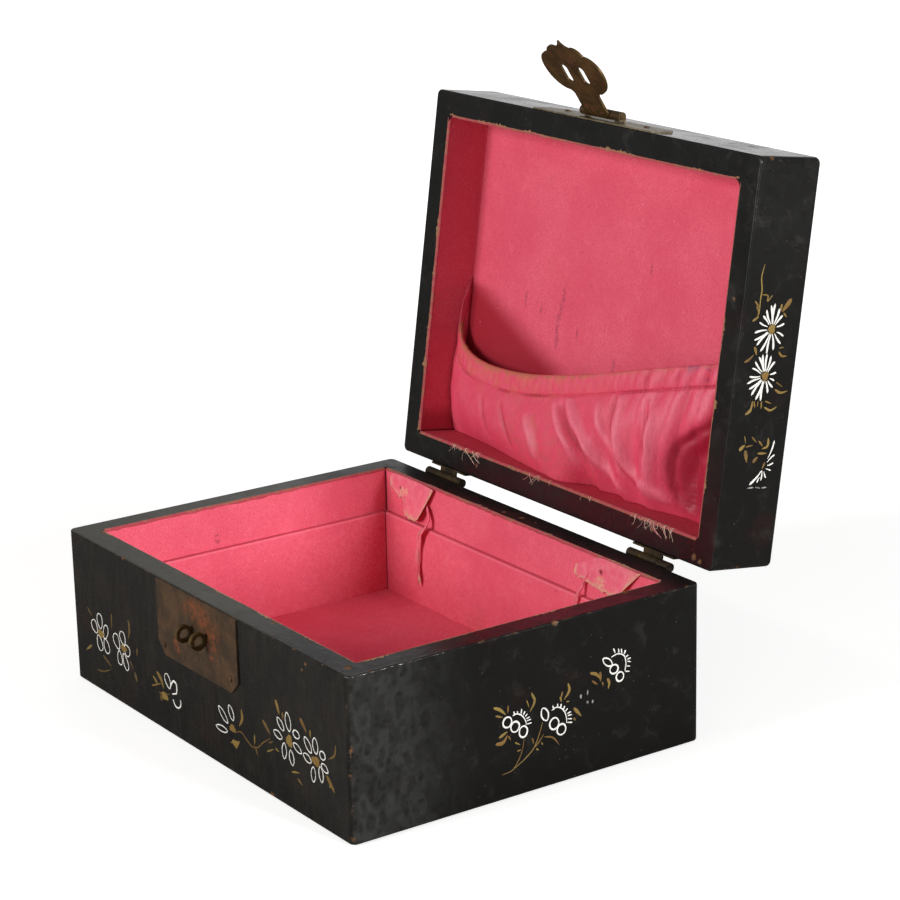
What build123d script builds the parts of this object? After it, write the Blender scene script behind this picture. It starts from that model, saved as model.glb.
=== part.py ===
from build123d import *
import os

# Lacquered jewelry box: a lined wooden base, a hinged lid with a gathered pocket, and a hasp.
# X runs along the hinge, -Y is the front with the lock plate, and +Z is up.
# The origin is the centre of the underside. The lid stands open and the hasp is raised.
# Pieces of the lid and the hasp are drawn where they lie when the box is shut, in frames
# that are swung about the two hinge axes.

# Wooden case
box_width = 250.0
box_depth = 189.4
base_height = 76.6
lid_height = 36.2
wall = 11.8
bottom_board = 9.5
top_board = 10.2
corner_round = 3.0
rim_round = 0.8
underside_round = 1.2
top_round = 2.0
rim_gap = 0.3

# Card and paper lining
card = 1.0
rim_step = 0.6
floor_card = 2.0
ledge_card = 2.5
ledge_height = 54.0
ledge_round = 0.8
panel_card = 1.2

# Lid hinges
open_angle = 98.2
hinge_behind = 4.8
hinge_below = 1.3
hinge_length = 30.0
hinge_spread = 166.4
end_knuckle = 8.0
knuckle_gap = 0.3
knuckle_radius = 2.3
hinge_pin_radius = 0.9
hinge_pin_head_radius = 1.4
hinge_pin_head = 0.4
hinge_bore_clearance = 0.05
leaf_thick = 0.9
leaf_height = 16.4
leaf_web = 1.0

# Lock plate with its two staple loops
clasp_x = 1.5
plate_thick = 0.7
lock_plate_width = 72.0
lock_plate_height = 36.4
lock_plate_x = -1.0
lock_plate_drop = 0.6
plate_clip = 6.0
loop_spacing = 12.8
loop_height = 58.8
loop_outer_radius = 4.2
loop_hole_radius = 2.5
loop_band = 2.2
loop_seat_gap = 0.05
loop_shank_thick = 1.8
loop_shank_reach = 9.0
shank_clearance = 0.1

# Hasp
hasp_plate_width = 92.0
hasp_plate_height = 17.5
hasp_plate_x = 2.5
hasp_plate_rise = 0.2
hasp_pivot_out = 3.7
hasp_pivot_rise = 6.6
hasp_lift = 49.3
hasp_knuckle = 18.2
left_plate_knuckle = 4.6
right_plate_knuckle = 6.9
leaf_plate = 1.1
slot_drop = 24.7
slot_width = 4.6
slot_length = 10.4

# Nails
nail_radius = 0.7
nail_length = 6.0
nail_head_radius = 1.4
nail_head = 0.7
nail_head_round = 0.5
nail_clearance = 0.05
nail_tip_gap = 0.2
leaf_nail_pitch = 10.5
leaf_nail_reach = 11.5
lock_nail_places = ((-31.5, 44.8), (28.5, 46.2))
hasp_nail_places = ((-29.5, 10.6), (33.0, 9.4))

# Pocket
cloth = 0.8
casing = 11.0
elastic_thick = 0.7
elastic_inset = 2.5
elastic_width = 6.0
layer_gap = 0.25
pocket_wall_gap = 0.3
side_peak_y = 0.6
casing_dip = 0.4
belly_share = 0.58

# Ribbon remnants: each strand's side, x, lower end and upper end
ribbon_thick = 0.5
strand_thick = 0.8
strand_width = 3.0
strand_gap = 0.3
strands = (("left", -78.5, 22.6, 60.4), ("right", 58.0, 47.0, 65.4))

half_width = box_width / 2
half_depth = box_depth / 2
inner_width = box_width - 2 * wall
inner_depth = box_depth - 2 * wall
lid_rim = base_height + rim_gap
lid_top = lid_rim + lid_height
lid_panel_low = lid_top - top_board
hinge_y = half_depth + hinge_behind
hinge_z = base_height - hinge_below
pivot_y = -half_depth - hasp_pivot_out
pivot_z = lid_rim + hasp_pivot_rise
loop_y = -half_depth - plate_thick - loop_seat_gap - loop_outer_radius
floor_top = bottom_board + floor_card
lining_face = half_depth - wall - card
lid_lining_low = lid_rim + rim_step
lid_lining_top = lid_panel_low - panel_card


def swung(frame, pivot_y, pivot_z, degrees):
    """A frame turned about the line along X through the given point of that frame."""
    at_pivot = Plane(frame.from_local_coords((0, pivot_y, pivot_z)), frame.x_dir, frame.z_dir)
    turned = at_pivot.rotated((degrees, 0, 0))
    return Plane(turned.from_local_coords((0, -pivot_y, -pivot_z)), turned.x_dir, turned.z_dir)


def across(frame, x):
    """A plane across the width at x: its axes run to the back and up, its normal along +X."""
    return Plane(frame.from_local_coords((x, 0, 0)), frame.y_dir, frame.x_dir)


def facing_front(frame, y):
    """An upright plane at depth y: its axes run along +X and up, its normal to the front."""
    return Plane(frame.from_local_coords((0, y, 0)), frame.x_dir, -frame.y_dir)


def facing_back(frame, y):
    """An upright plane at depth y: its axes run along -X and up, its normal to the back."""
    return Plane(frame.from_local_coords((0, y, 0)), -frame.x_dir, frame.y_dir)


base_frame = Plane.XY
lid_frame = swung(base_frame, hinge_y, hinge_z, -open_angle)
hasp_frame = swung(lid_frame, pivot_y, pivot_z, -hasp_lift)

os.makedirs("parts", exist_ok=True)


# Case boards

def long_board(frame, side, low, height, rim_at_top):
    """Front (side -1) or back (side 1) board, with round outer corners and a worn rim."""
    up = Axis(frame.origin, frame.z_dir)
    back = Axis(frame.origin, frame.y_dir)
    with BuildPart(frame) as board:
        with Locations((0, side * (half_depth - wall / 2), low)):
            Box(box_width, wall, height, align=(Align.CENTER, Align.CENTER, Align.MIN))
        upright = board.edges().filter_by(up).sort_by(back, reverse=side > 0)[:2]
        fillet(upright, corner_round)
        rim = board.faces().filter_by(up).sort_by(up, reverse=rim_at_top)[0]
        fillet(rim.edges().sort_by(back, reverse=side > 0)[:-1], rim_round)
    return board.part


def short_board(frame, side, low, height, rim_at_top):
    """Left (side -1) or right (side 1) board, fitted between the long boards."""
    up = Axis(frame.origin, frame.z_dir)
    right = Axis(frame.origin, frame.x_dir)
    with BuildPart(frame) as board:
        with Locations((side * (half_width - wall / 2), 0, low)):
            Box(wall, inner_depth, height, align=(Align.CENTER, Align.CENTER, Align.MIN))
        rim = board.faces().filter_by(up).sort_by(up, reverse=rim_at_top)[0]
        outer = rim.edges().filter_by(Axis(frame.origin, frame.y_dir))
        fillet(outer.sort_by(right, reverse=side > 0)[0], rim_round)
    return board.part


base_board_height = base_height - bottom_board
lid_board_height = lid_height - top_board
hinge_centres = (-hinge_spread / 2, hinge_spread / 2)
leaf_nail_x = [-x + dx for x in hinge_centres for dx in (-leaf_nail_pitch, 0, leaf_nail_pitch)]
base_leaf_nails = [(x, hinge_z - leaf_nail_reach) for x in leaf_nail_x]
lid_leaf_nails = [(x, hinge_z + leaf_nail_reach) for x in leaf_nail_x]
hasp_nails = [(x, lid_rim + rise) for x, rise in hasp_nail_places]
loop_spots = [(clasp_x - loop_spacing / 2, loop_height), (clasp_x + loop_spacing / 2, loop_height)]

with BuildPart() as base_front_board:
    add(long_board(base_frame, -1, bottom_board, base_board_height, True))
    with BuildSketch(facing_front(base_frame, -half_depth)):
        with Locations(*lock_nail_places):
            Circle(nail_radius + nail_clearance)
    extrude(amount=-nail_length, mode=Mode.SUBTRACT)
    with BuildSketch(facing_front(base_frame, -half_depth)):
        with Locations(*loop_spots):
            Rectangle(loop_band + 2 * shank_clearance, loop_shank_thick + 2 * shank_clearance)
    extrude(amount=-loop_shank_reach - shank_clearance, mode=Mode.SUBTRACT)
base_front_board.part.label = "base_front_board"
export_step(base_front_board.part, "parts/base_front_board.step")

with BuildPart() as base_back_board:
    add(long_board(base_frame, 1, bottom_board, base_board_height, True))
    with BuildSketch(facing_back(base_frame, half_depth)):
        with Locations(*base_leaf_nails):
            Circle(nail_radius + nail_clearance)
    extrude(amount=-nail_length, mode=Mode.SUBTRACT)
base_back_board.part.label = "base_back_board"
export_step(base_back_board.part, "parts/base_back_board.step")

with BuildPart() as lid_front_board:
    add(long_board(lid_frame, -1, lid_rim, lid_board_height, False))
    with BuildSketch(facing_front(lid_frame, -half_depth)):
        with Locations(*hasp_nails):
            Circle(nail_radius + nail_clearance)
    extrude(amount=-nail_length, mode=Mode.SUBTRACT)
lid_front_board.part.label = "lid_front_board"
export_step(lid_front_board.part, "parts/lid_front_board.step")

with BuildPart() as lid_back_board:
    add(long_board(lid_frame, 1, lid_rim, lid_board_height, False))
    with BuildSketch(facing_back(lid_frame, half_depth)):
        with Locations(*lid_leaf_nails):
            Circle(nail_radius + nail_clearance)
    extrude(amount=-nail_length, mode=Mode.SUBTRACT)
lid_back_board.part.label = "lid_back_board"
export_step(lid_back_board.part, "parts/lid_back_board.step")

for side_name, side in (("left", -1), ("right", 1)):
    with BuildPart() as base_side_board:
        add(short_board(base_frame, side, bottom_board, base_board_height, True))
    base_side_board.part.label = f"base_{side_name}_board"
    export_step(base_side_board.part, f"parts/base_{side_name}_board.step")

    with BuildPart() as lid_side_board:
        add(short_board(lid_frame, side, lid_rim, lid_board_height, False))
    lid_side_board.part.label = f"lid_{side_name}_board"
    export_step(lid_side_board.part, f"parts/lid_{side_name}_board.step")

with BuildPart() as base_bottom:
    Box(box_width, box_depth, bottom_board, align=(Align.CENTER, Align.CENTER, Align.MIN))
    fillet(base_bottom.edges().filter_by(Axis.Z), corner_round)
    fillet(base_bottom.faces().sort_by(Axis.Z)[0].edges(), underside_round)
base_bottom.part.label = "base_bottom"
export_step(base_bottom.part, "parts/base_bottom.step")

lid_up = Axis(lid_frame.origin, lid_frame.z_dir)
with BuildPart(lid_frame.offset(lid_panel_low)) as lid_top_panel:
    Box(box_width, box_depth, top_board, align=(Align.CENTER, Align.CENTER, Align.MIN))
    fillet(lid_top_panel.edges().filter_by(lid_up), corner_round)
    fillet(lid_top_panel.faces().filter_by(lid_up).sort_by(lid_up)[-1].edges(), top_round)
lid_top_panel.part.label = "lid_top_panel"
export_step(lid_top_panel.part, "parts/lid_top_panel.step")


# Lining

def strip(frame, size_x, size_y, x, y, low, top):
    """An upright strip of card."""
    with BuildPart(frame) as board:
        with Locations((x, y, low)):
            Box(size_x, size_y, top - low, align=(Align.CENTER, Align.CENTER, Align.MIN))
    return board.part


lining_centre_x = half_width - wall - card / 2
lining_centre_y = half_depth - wall - card / 2
for end_name, end in (("front", -1), ("back", 1)):
    with BuildPart() as wall_lining:
        add(strip(base_frame, inner_width, card, 0, end * lining_centre_y,
                  bottom_board, base_height - rim_step))
    wall_lining.part.label = f"wall_lining_{end_name}"
    export_step(wall_lining.part, f"parts/wall_lining_{end_name}.step")

    with BuildPart() as lid_lining:
        add(strip(lid_frame, inner_width, card, 0, end * lining_centre_y,
                  lid_lining_low, lid_lining_top))
    lid_lining.part.label = f"lid_lining_{end_name}"
    export_step(lid_lining.part, f"parts/lid_lining_{end_name}.step")

    with BuildPart() as ledge_board:
        add(strip(base_frame, inner_width - 2 * card, ledge_card,
                  0, end * (lining_face - ledge_card / 2), floor_top, ledge_height))
        inner_top = ledge_board.edges().filter_by(Axis.X).group_by(Axis.Z)[-1]
        fillet(inner_top.sort_by(Axis.Y, reverse=end < 0)[0], ledge_round)
    ledge_board.part.label = f"ledge_board_{end_name}"
    export_step(ledge_board.part, f"parts/ledge_board_{end_name}.step")

for side_name, side in (("left", -1), ("right", 1)):
    with BuildPart() as wall_lining:
        add(strip(base_frame, card, inner_depth - 2 * card, side * lining_centre_x, 0,
                  bottom_board, base_height - rim_step))
    wall_lining.part.label = f"wall_lining_{side_name}"
    export_step(wall_lining.part, f"parts/wall_lining_{side_name}.step")

    with BuildPart() as lid_lining:
        add(strip(lid_frame, card, inner_depth - 2 * card, side * lining_centre_x, 0,
                  lid_lining_low, lid_lining_top))
    lid_lining.part.label = f"lid_lining_{side_name}"
    export_step(lid_lining.part, f"parts/lid_lining_{side_name}.step")

    with BuildPart() as ledge_board:
        ledge_x = side * (half_width - wall - card - ledge_card / 2)
        add(strip(base_frame, ledge_card, inner_depth - 2 * card - 2 * ledge_card,
                  ledge_x, 0, floor_top, ledge_height))
        inner_top = ledge_board.edges().filter_by(Axis.Y).group_by(Axis.Z)[-1]
        fillet(inner_top.sort_by(Axis.X, reverse=side < 0)[0], ledge_round)
    ledge_board.part.label = f"ledge_board_{side_name}"
    export_step(ledge_board.part, f"parts/ledge_board_{side_name}.step")

with BuildPart(Plane.XY.offset(bottom_board)) as floor_board:
    Box(inner_width - 2 * card, inner_depth - 2 * card, floor_card,
        align=(Align.CENTER, Align.CENTER, Align.MIN))
floor_board.part.label = "floor_board"
export_step(floor_board.part, "parts/floor_board.step")

with BuildPart(lid_frame.offset(lid_lining_top)) as lid_panel_lining:
    Box(inner_width, inner_depth, panel_card, align=(Align.CENTER, Align.CENTER, Align.MIN))
lid_panel_lining.part.label = "lid_panel_lining"
export_step(lid_panel_lining.part, "parts/lid_panel_lining.step")


# Lock plate and staple loops

with BuildPart() as lock_plate:
    with BuildSketch(facing_front(base_frame, -half_depth)):
        plate_top = base_height - lock_plate_drop
        left, right = lock_plate_x - lock_plate_width / 2, lock_plate_x + lock_plate_width / 2
        low = plate_top - lock_plate_height
        with BuildLine():
            Polyline((left, plate_top), (right, plate_top), (right, low + plate_clip),
                     (right - plate_clip, low), (left + plate_clip, low),
                     (left, low + plate_clip), close=True)
        make_face()
        with Locations(*lock_nail_places):
            Circle(nail_radius + nail_clearance, mode=Mode.SUBTRACT)
        with Locations(*loop_spots):
            Rectangle(loop_band + 2 * shank_clearance, loop_shank_thick + 2 * shank_clearance,
                      mode=Mode.SUBTRACT)
    extrude(amount=plate_thick)
lock_plate.part.label = "lock_plate"
export_step(lock_plate.part, "parts/lock_plate.step")

for side_name, spot in zip(("left", "right"), loop_spots):
    with BuildPart() as staple_loop:
        with BuildSketch(across(base_frame, spot[0])):
            with Locations((loop_y, loop_height)):
                Circle(loop_outer_radius)
            shank_front = loop_y + (loop_outer_radius + loop_hole_radius) / 2
            with Locations((shank_front, loop_height)):
                Rectangle(-half_depth + loop_shank_reach - shank_front, loop_shank_thick,
                          align=(Align.MIN, Align.CENTER))
            with Locations((loop_y, loop_height)):
                Circle(loop_hole_radius, mode=Mode.SUBTRACT)
        extrude(amount=loop_band / 2, both=True)
    staple_loop.part.label = f"staple_loop_{side_name}"
    export_step(staple_loop.part, f"parts/staple_loop_{side_name}.step")


# Nails

def nails(face, spots, seat):
    """Nails driven square through a face at the given spots, their heads on a plate."""
    with BuildPart() as group:
        with BuildSketch(face.offset(seat)):
            with Locations(*spots):
                Circle(nail_head_radius)
        extrude(amount=nail_head)
        fillet(group.faces().sort_by(Axis(face.origin, face.z_dir))[-len(spots):].edges(),
               nail_head_round)
        with BuildSketch(face.offset(seat)):
            with Locations(*spots):
                Circle(nail_radius)
        extrude(amount=nail_tip_gap - nail_length - seat)
    return group.part


with BuildPart() as lock_plate_nails:
    add(nails(facing_front(base_frame, -half_depth), lock_nail_places, plate_thick))
lock_plate_nails.part.label = "lock_plate_nails"
export_step(lock_plate_nails.part, "parts/lock_plate_nails.step")

with BuildPart() as base_hinge_nails:
    add(nails(facing_back(base_frame, half_depth), base_leaf_nails, leaf_thick))
base_hinge_nails.part.label = "base_hinge_nails"
export_step(base_hinge_nails.part, "parts/base_hinge_nails.step")

with BuildPart() as lid_hinge_nails:
    add(nails(facing_back(lid_frame, half_depth), lid_leaf_nails, leaf_thick))
lid_hinge_nails.part.label = "lid_hinge_nails"
export_step(lid_hinge_nails.part, "parts/lid_hinge_nails.step")

with BuildPart() as hasp_plate_nails:
    add(nails(facing_front(lid_frame, -half_depth), hasp_nails, plate_thick))
hasp_plate_nails.part.label = "hasp_plate_nails"
export_step(hasp_plate_nails.part, "parts/hasp_plate_nails.step")


# Lid hinges: a cranked leaf on each back face, joined by a pin through three knuckles

for side_name, centre in zip(("left", "right"), hinge_centres):
    start = centre - hinge_length / 2
    end = centre + hinge_length / 2
    nail_columns = (-centre - leaf_nail_pitch, -centre, -centre + leaf_nail_pitch)

    with BuildPart() as base_leaf:
        leaf_top = hinge_z - knuckle_radius + leaf_web
        with BuildSketch(facing_back(base_frame, half_depth)):
            with Locations((-centre, leaf_top)):
                Rectangle(hinge_length, leaf_height, align=(Align.CENTER, Align.MAX))
            with Locations(*[(x, hinge_z - leaf_nail_reach) for x in nail_columns]):
                Circle(nail_radius + nail_clearance, mode=Mode.SUBTRACT)
        extrude(amount=leaf_thick)
        for low_x in (start, end - end_knuckle):
            with BuildSketch(across(base_frame, low_x)):
                with Locations((half_depth, leaf_top)):
                    Rectangle(hinge_behind, leaf_web, align=(Align.MIN, Align.MAX))
                with Locations((hinge_y, hinge_z)):
                    Circle(knuckle_radius)
            extrude(amount=end_knuckle)
        with BuildSketch(across(base_frame, start)):
            with Locations((hinge_y, hinge_z)):
                Circle(hinge_pin_radius)
        extrude(amount=hinge_length, mode=Mode.SUBTRACT)
    base_leaf.part.label = f"base_hinge_leaf_{side_name}"
    export_step(base_leaf.part, f"parts/base_hinge_leaf_{side_name}.step")

    with BuildPart() as lid_leaf:
        leaf_low = hinge_z + knuckle_radius - leaf_web
        with BuildSketch(facing_back(lid_frame, half_depth)):
            with Locations((-centre, leaf_low)):
                Rectangle(hinge_length, leaf_height, align=(Align.CENTER, Align.MIN))
            with Locations(*[(x, hinge_z + leaf_nail_reach) for x in nail_columns]):
                Circle(nail_radius + nail_clearance, mode=Mode.SUBTRACT)
        extrude(amount=leaf_thick)
        low_x = start + end_knuckle + knuckle_gap
        middle_knuckle = hinge_length - 2 * (end_knuckle + knuckle_gap)
        with BuildSketch(across(lid_frame, low_x)):
            with Locations((half_depth, leaf_low)):
                Rectangle(hinge_behind, leaf_web, align=(Align.MIN, Align.MIN))
            with Locations((hinge_y, hinge_z)):
                Circle(knuckle_radius)
                Circle(hinge_pin_radius + hinge_bore_clearance, mode=Mode.SUBTRACT)
        extrude(amount=middle_knuckle)
    lid_leaf.part.label = f"lid_hinge_leaf_{side_name}"
    export_step(lid_leaf.part, f"parts/lid_hinge_leaf_{side_name}.step")

    with BuildPart() as hinge_pin:
        with BuildSketch(across(base_frame, start)):
            with Locations((hinge_y, hinge_z)):
                Circle(hinge_pin_radius)
        extrude(amount=hinge_length)
        for head_x in (start - hinge_pin_head, end):
            with BuildSketch(across(base_frame, head_x)):
                with Locations((hinge_y, hinge_z)):
                    Circle(hinge_pin_head_radius)
            extrude(amount=hinge_pin_head)
    hinge_pin.part.label = f"hinge_pin_{side_name}"
    export_step(hinge_pin.part, f"parts/hinge_pin_{side_name}.step")


# Hasp: a plate on the lid's front with two knuckles, a pin, and a lobed leaf with two slots

hasp_start = clasp_x - hasp_knuckle / 2
hasp_end = clasp_x + hasp_knuckle / 2
left_span = (hasp_start - knuckle_gap - left_plate_knuckle, hasp_start - knuckle_gap)
right_span = (hasp_end + knuckle_gap, hasp_end + knuckle_gap + right_plate_knuckle)

with BuildPart() as hasp_plate:
    with BuildSketch(facing_front(lid_frame, -half_depth)):
        low = lid_rim + hasp_plate_rise
        top = low + hasp_plate_height
        left, right = hasp_plate_x - hasp_plate_width / 2, hasp_plate_x + hasp_plate_width / 2
        with BuildLine():
            Polyline((left, low), (right, low), (right, top - plate_clip),
                     (right - plate_clip, top), (left + plate_clip, top),
                     (left, top - plate_clip), close=True)
        make_face()
        with Locations(*hasp_nails):
            Circle(nail_radius + nail_clearance, mode=Mode.SUBTRACT)
    extrude(amount=plate_thick)
    for span in (left_span, right_span):
        with BuildSketch(across(lid_frame, span[0])):
            with Locations((-half_depth, pivot_z + knuckle_radius)):
                Rectangle(hasp_pivot_out, leaf_web, align=(Align.MAX, Align.MAX))
            with Locations((pivot_y, pivot_z)):
                Circle(knuckle_radius)
        extrude(amount=span[1] - span[0])
    with BuildSketch(across(lid_frame, left_span[0])):
        with Locations((pivot_y, pivot_z)):
            Circle(hinge_pin_radius)
    extrude(amount=right_span[1] - left_span[0], mode=Mode.SUBTRACT)
hasp_plate.part.label = "hasp_plate"
export_step(hasp_plate.part, "parts/hasp_plate.step")

with BuildPart() as hasp_pin:
    with BuildSketch(across(lid_frame, left_span[0])):
        with Locations((pivot_y, pivot_z)):
            Circle(hinge_pin_radius)
    extrude(amount=right_span[1] - left_span[0])
    for head_x in (left_span[0] - hinge_pin_head, right_span[1]):
        with BuildSketch(across(lid_frame, head_x)):
            with Locations((pivot_y, pivot_z)):
                Circle(hinge_pin_head_radius)
        extrude(amount=hinge_pin_head)
hasp_pin.part.label = "hasp_pin"
export_step(hasp_pin.part, "parts/hasp_pin.step")

leaf_origin = hasp_frame.from_local_coords((clasp_x, pivot_y + knuckle_radius, pivot_z))
leaf_face = Plane(leaf_origin, hasp_frame.x_dir, -hasp_frame.y_dir)
with BuildPart() as hasp_leaf:
    with BuildSketch(leaf_face):
        with BuildLine():
            Line((0, 0), (hasp_knuckle / 2, 0))
            Line((hasp_knuckle / 2, 0), (9.0, -12.0))
            ThreePointArc((9.0, -12.0), (10.4, -14.0), (12.8, -14.6))
            ThreePointArc((12.8, -14.6), (20.2, -19.8), (22.5, -27.0))
            ThreePointArc((22.5, -27.0), (20.4, -33.4), (13.6, -36.7))
            ThreePointArc((13.6, -36.7), (11.0, -40.0), (5.2, -40.8))
            ThreePointArc((5.2, -40.8), (2.0, -42.2), (0, -45.0))
            mirror(about=Plane.YZ)
        make_face()
        with Locations((-loop_spacing / 2, -slot_drop), (loop_spacing / 2, -slot_drop)):
            SlotOverall(slot_length, slot_width, rotation=90, mode=Mode.SUBTRACT)
    extrude(amount=leaf_plate)
    with BuildSketch(across(hasp_frame, hasp_start)):
        with Locations((pivot_y, pivot_z)):
            Circle(knuckle_radius)
    extrude(amount=hasp_knuckle)
    with BuildSketch(across(hasp_frame, hasp_start)):
        with Locations((pivot_y, pivot_z)):
            Circle(hinge_pin_radius + hinge_bore_clearance)
    extrude(amount=hasp_knuckle, mode=Mode.SUBTRACT)
hasp_leaf.part.label = "hasp_leaf"
export_step(hasp_leaf.part, "parts/hasp_leaf.step")


# Pocket: gathered cloth across the hinge half of the lid, drooping on a slack elastic.
# Each station gives x, the hem's y and z, the belly's z, and z where the cloth meets the
# back lining, with the folds as dips and rises from station to station.

stations = (
    (-111.2, 16.0, 96.6, 95.0, 99.0),
    (-103.0, 29.5, 95.0, 92.4, 98.2),
    (-89.0, 38.4, 91.8, 89.0, 96.8),
    (-66.0, 39.2, 88.6, 85.4, 93.0),
    (-40.0, 37.0, 86.2, 81.8, 87.6),
    (-14.0, 32.4, 85.2, 80.6, 83.4),
    (6.0, 28.0, 85.0, 80.4, 84.0),
    (14.0, 26.0, 85.0, 83.6, 94.6),
    (24.0, 23.4, 85.0, 80.8, 90.6),
    (34.0, 20.8, 85.2, 84.4, 94.0),
    (44.0, 18.0, 85.6, 80.8, 89.8),
    (54.0, 15.4, 86.2, 84.6, 92.6),
    (64.0, 12.8, 87.0, 81.2, 91.0),
    (72.0, 10.8, 87.8, 82.4, 92.8),
    (79.0, 9.0, 88.8, 89.4, 98.0),
    (87.0, 7.0, 90.4, 84.6, 92.6),
    (97.0, 4.4, 92.8, 86.0, 92.4),
    (105.0, 2.8, 94.8, 89.4, 95.0),
    (111.2, 2.0, 96.6, 93.0, 97.4),
)
pocket_back = lining_face - layer_gap
pocket_top = lid_lining_top - layer_gap


def hem_band(frame, start, width, inset, thick):
    """A ruled band that follows the hem inside the front cloth."""
    with BuildPart() as band:
        for x, hem_y, hem_z, _, _ in stations[1:-1]:
            with BuildSketch(across(frame, x)):
                with Locations((hem_y + start, hem_z + cloth + inset)):
                    Rectangle(width, thick, align=(Align.MIN, Align.MIN))
        loft(ruled=True)
    return band.part


with BuildPart() as pocket:
    for x, hem_y, hem_z, belly_z, foot_z in stations:
        fold_y = hem_y + casing
        belly_y = fold_y + belly_share * (pocket_back - fold_y)
        with BuildSketch(across(lid_frame, x)):
            with BuildLine():
                Line((hem_y, hem_z), (fold_y, hem_z - casing_dip))
                ThreePointArc((fold_y, hem_z - casing_dip), (belly_y, belly_z), (pocket_back, foot_z))
                Line((pocket_back, foot_z), (pocket_back, pocket_top))
                Line((pocket_back, pocket_top), (pocket_back - cloth, pocket_top))
                Line((pocket_back - cloth, pocket_top), (pocket_back - cloth, foot_z + cloth))
                ThreePointArc((pocket_back - cloth, foot_z + cloth),
                              (belly_y, belly_z + cloth), (fold_y, hem_z - casing_dip + cloth))
                Line((fold_y, hem_z - casing_dip + cloth), (hem_y, hem_z + cloth))
                Line((hem_y, hem_z + cloth), (hem_y, hem_z))
            make_face()
    loft(ruled=True)
    for side in (-1, 1):
        x, hem_y, hem_z, belly_z, foot_z = stations[0] if side < 0 else stations[-1]
        side_x = half_width - wall - card - pocket_wall_gap
        side_start = -side_x if side < 0 else x
        fold_y = hem_y + casing
        belly_y = fold_y + belly_share * (pocket_back - fold_y)
        with BuildSketch(across(lid_frame, side_start)):
            with BuildLine():
                Line((side_peak_y, pocket_top), (hem_y, hem_z))
                Line((hem_y, hem_z), (fold_y, hem_z - casing_dip))
                ThreePointArc((fold_y, hem_z - casing_dip), (belly_y, belly_z),
                              (pocket_back, foot_z))
                Line((pocket_back, foot_z), (pocket_back, pocket_top))
                Line((pocket_back, pocket_top), (side_peak_y, pocket_top))
            make_face()
        extrude(amount=side_x - abs(x))
pocket.part.label = "pocket"
export_step(pocket.part, "parts/pocket.step")

with BuildPart() as pocket_elastic:
    add(hem_band(lid_frame, elastic_inset, elastic_width, layer_gap, elastic_thick))
pocket_elastic.part.label = "pocket_elastic"
export_step(pocket_elastic.part, "parts/pocket_elastic.step")

with BuildPart() as pocket_hem_facing:
    add(hem_band(lid_frame, 0, casing, 2 * layer_gap + elastic_thick, cloth))
pocket_hem_facing.part.label = "pocket_hem_facing"
export_step(pocket_hem_facing.part, "parts/pocket_hem_facing.step")


# Remnants of two ribbons on the back lining of the base

ribbon_outlines = {
    "left": ((-105.0, 75.6), (-65.0, 75.6), (-68.0, 66.0), (-76.0, 57.0), (-90.0, 57.0),
             (-96.0, 64.0), (-105.0, 67.0)),
    "right": ((60.0, 75.6), (104.0, 75.6), (88.0, 64.4), (76.0, 60.0), (64.0, 62.0),
              (52.0, 66.0), (56.0, 70.0)),
}
for side_name, outline in ribbon_outlines.items():
    with BuildPart() as ribbon_tab:
        with BuildSketch(facing_front(base_frame, lining_face)):
            with BuildLine():
                Polyline(*outline, close=True)
            make_face()
        extrude(amount=ribbon_thick)
    ribbon_tab.part.label = f"ribbon_tab_{side_name}"
    export_step(ribbon_tab.part, f"parts/ribbon_tab_{side_name}.step")

tab_face = lining_face - ribbon_thick
hang = lining_face - ledge_card - strand_gap
over_ledge = ledge_height + strand_gap + strand_thick
for side_name, x, low, top in strands:
    with BuildPart() as ribbon_strand:
        with BuildSketch(across(base_frame, x)):
            with BuildLine():
                Polyline((tab_face, top), (tab_face - strand_thick, top),
                         (hang - strand_thick, over_ledge), (hang - strand_thick, low),
                         (hang, low), (hang, over_ledge), (tab_face, top - strand_width),
                         close=True)
            make_face()
        extrude(amount=strand_width / 2, both=True)
    ribbon_strand.part.label = f"ribbon_strand_{side_name}"
    export_step(ribbon_strand.part, f"parts/ribbon_strand_{side_name}.step")
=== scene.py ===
"""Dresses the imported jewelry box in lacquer, paper, satin, brass and flowers on its fixed frame.

Every rigid piece is a CAD node that only gets its finish here. The gathered pocket, its elastic,
the ribbon remnants, the torn paper edges, the loose threads and the painted strokes are surfaces
worked out with numpy, in millimetres, in the frame of the shut lid where they ride on the lid.
"""

from __future__ import annotations

import logging
import math
from dataclasses import dataclass
from enum import Enum
from typing import Any

import bmesh
import bpy
import numpy as np
from mathutils import Matrix


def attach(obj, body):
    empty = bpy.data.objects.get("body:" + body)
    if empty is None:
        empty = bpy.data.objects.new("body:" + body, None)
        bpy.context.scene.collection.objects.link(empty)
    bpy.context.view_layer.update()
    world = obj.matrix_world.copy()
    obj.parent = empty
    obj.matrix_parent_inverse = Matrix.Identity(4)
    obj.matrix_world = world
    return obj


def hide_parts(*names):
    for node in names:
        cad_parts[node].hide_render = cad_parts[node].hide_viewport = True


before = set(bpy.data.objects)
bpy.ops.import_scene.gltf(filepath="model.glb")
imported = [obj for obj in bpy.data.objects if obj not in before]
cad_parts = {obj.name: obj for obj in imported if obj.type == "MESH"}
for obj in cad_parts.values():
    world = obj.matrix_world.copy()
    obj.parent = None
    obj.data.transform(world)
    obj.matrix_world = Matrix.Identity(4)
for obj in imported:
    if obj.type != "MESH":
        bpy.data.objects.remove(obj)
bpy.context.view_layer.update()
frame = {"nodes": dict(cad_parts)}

Array = np.ndarray
Socket = bpy.types.NodeSocket
Material = bpy.types.Material
Place = tuple[float, float, float]
Colour = tuple[float, float, float, float]
Rows = tuple[tuple[float, ...], ...]
Inputs = dict[str | int, Any]

LOG = logging.getLogger("jewelry_box")
MM = 0.001

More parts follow.
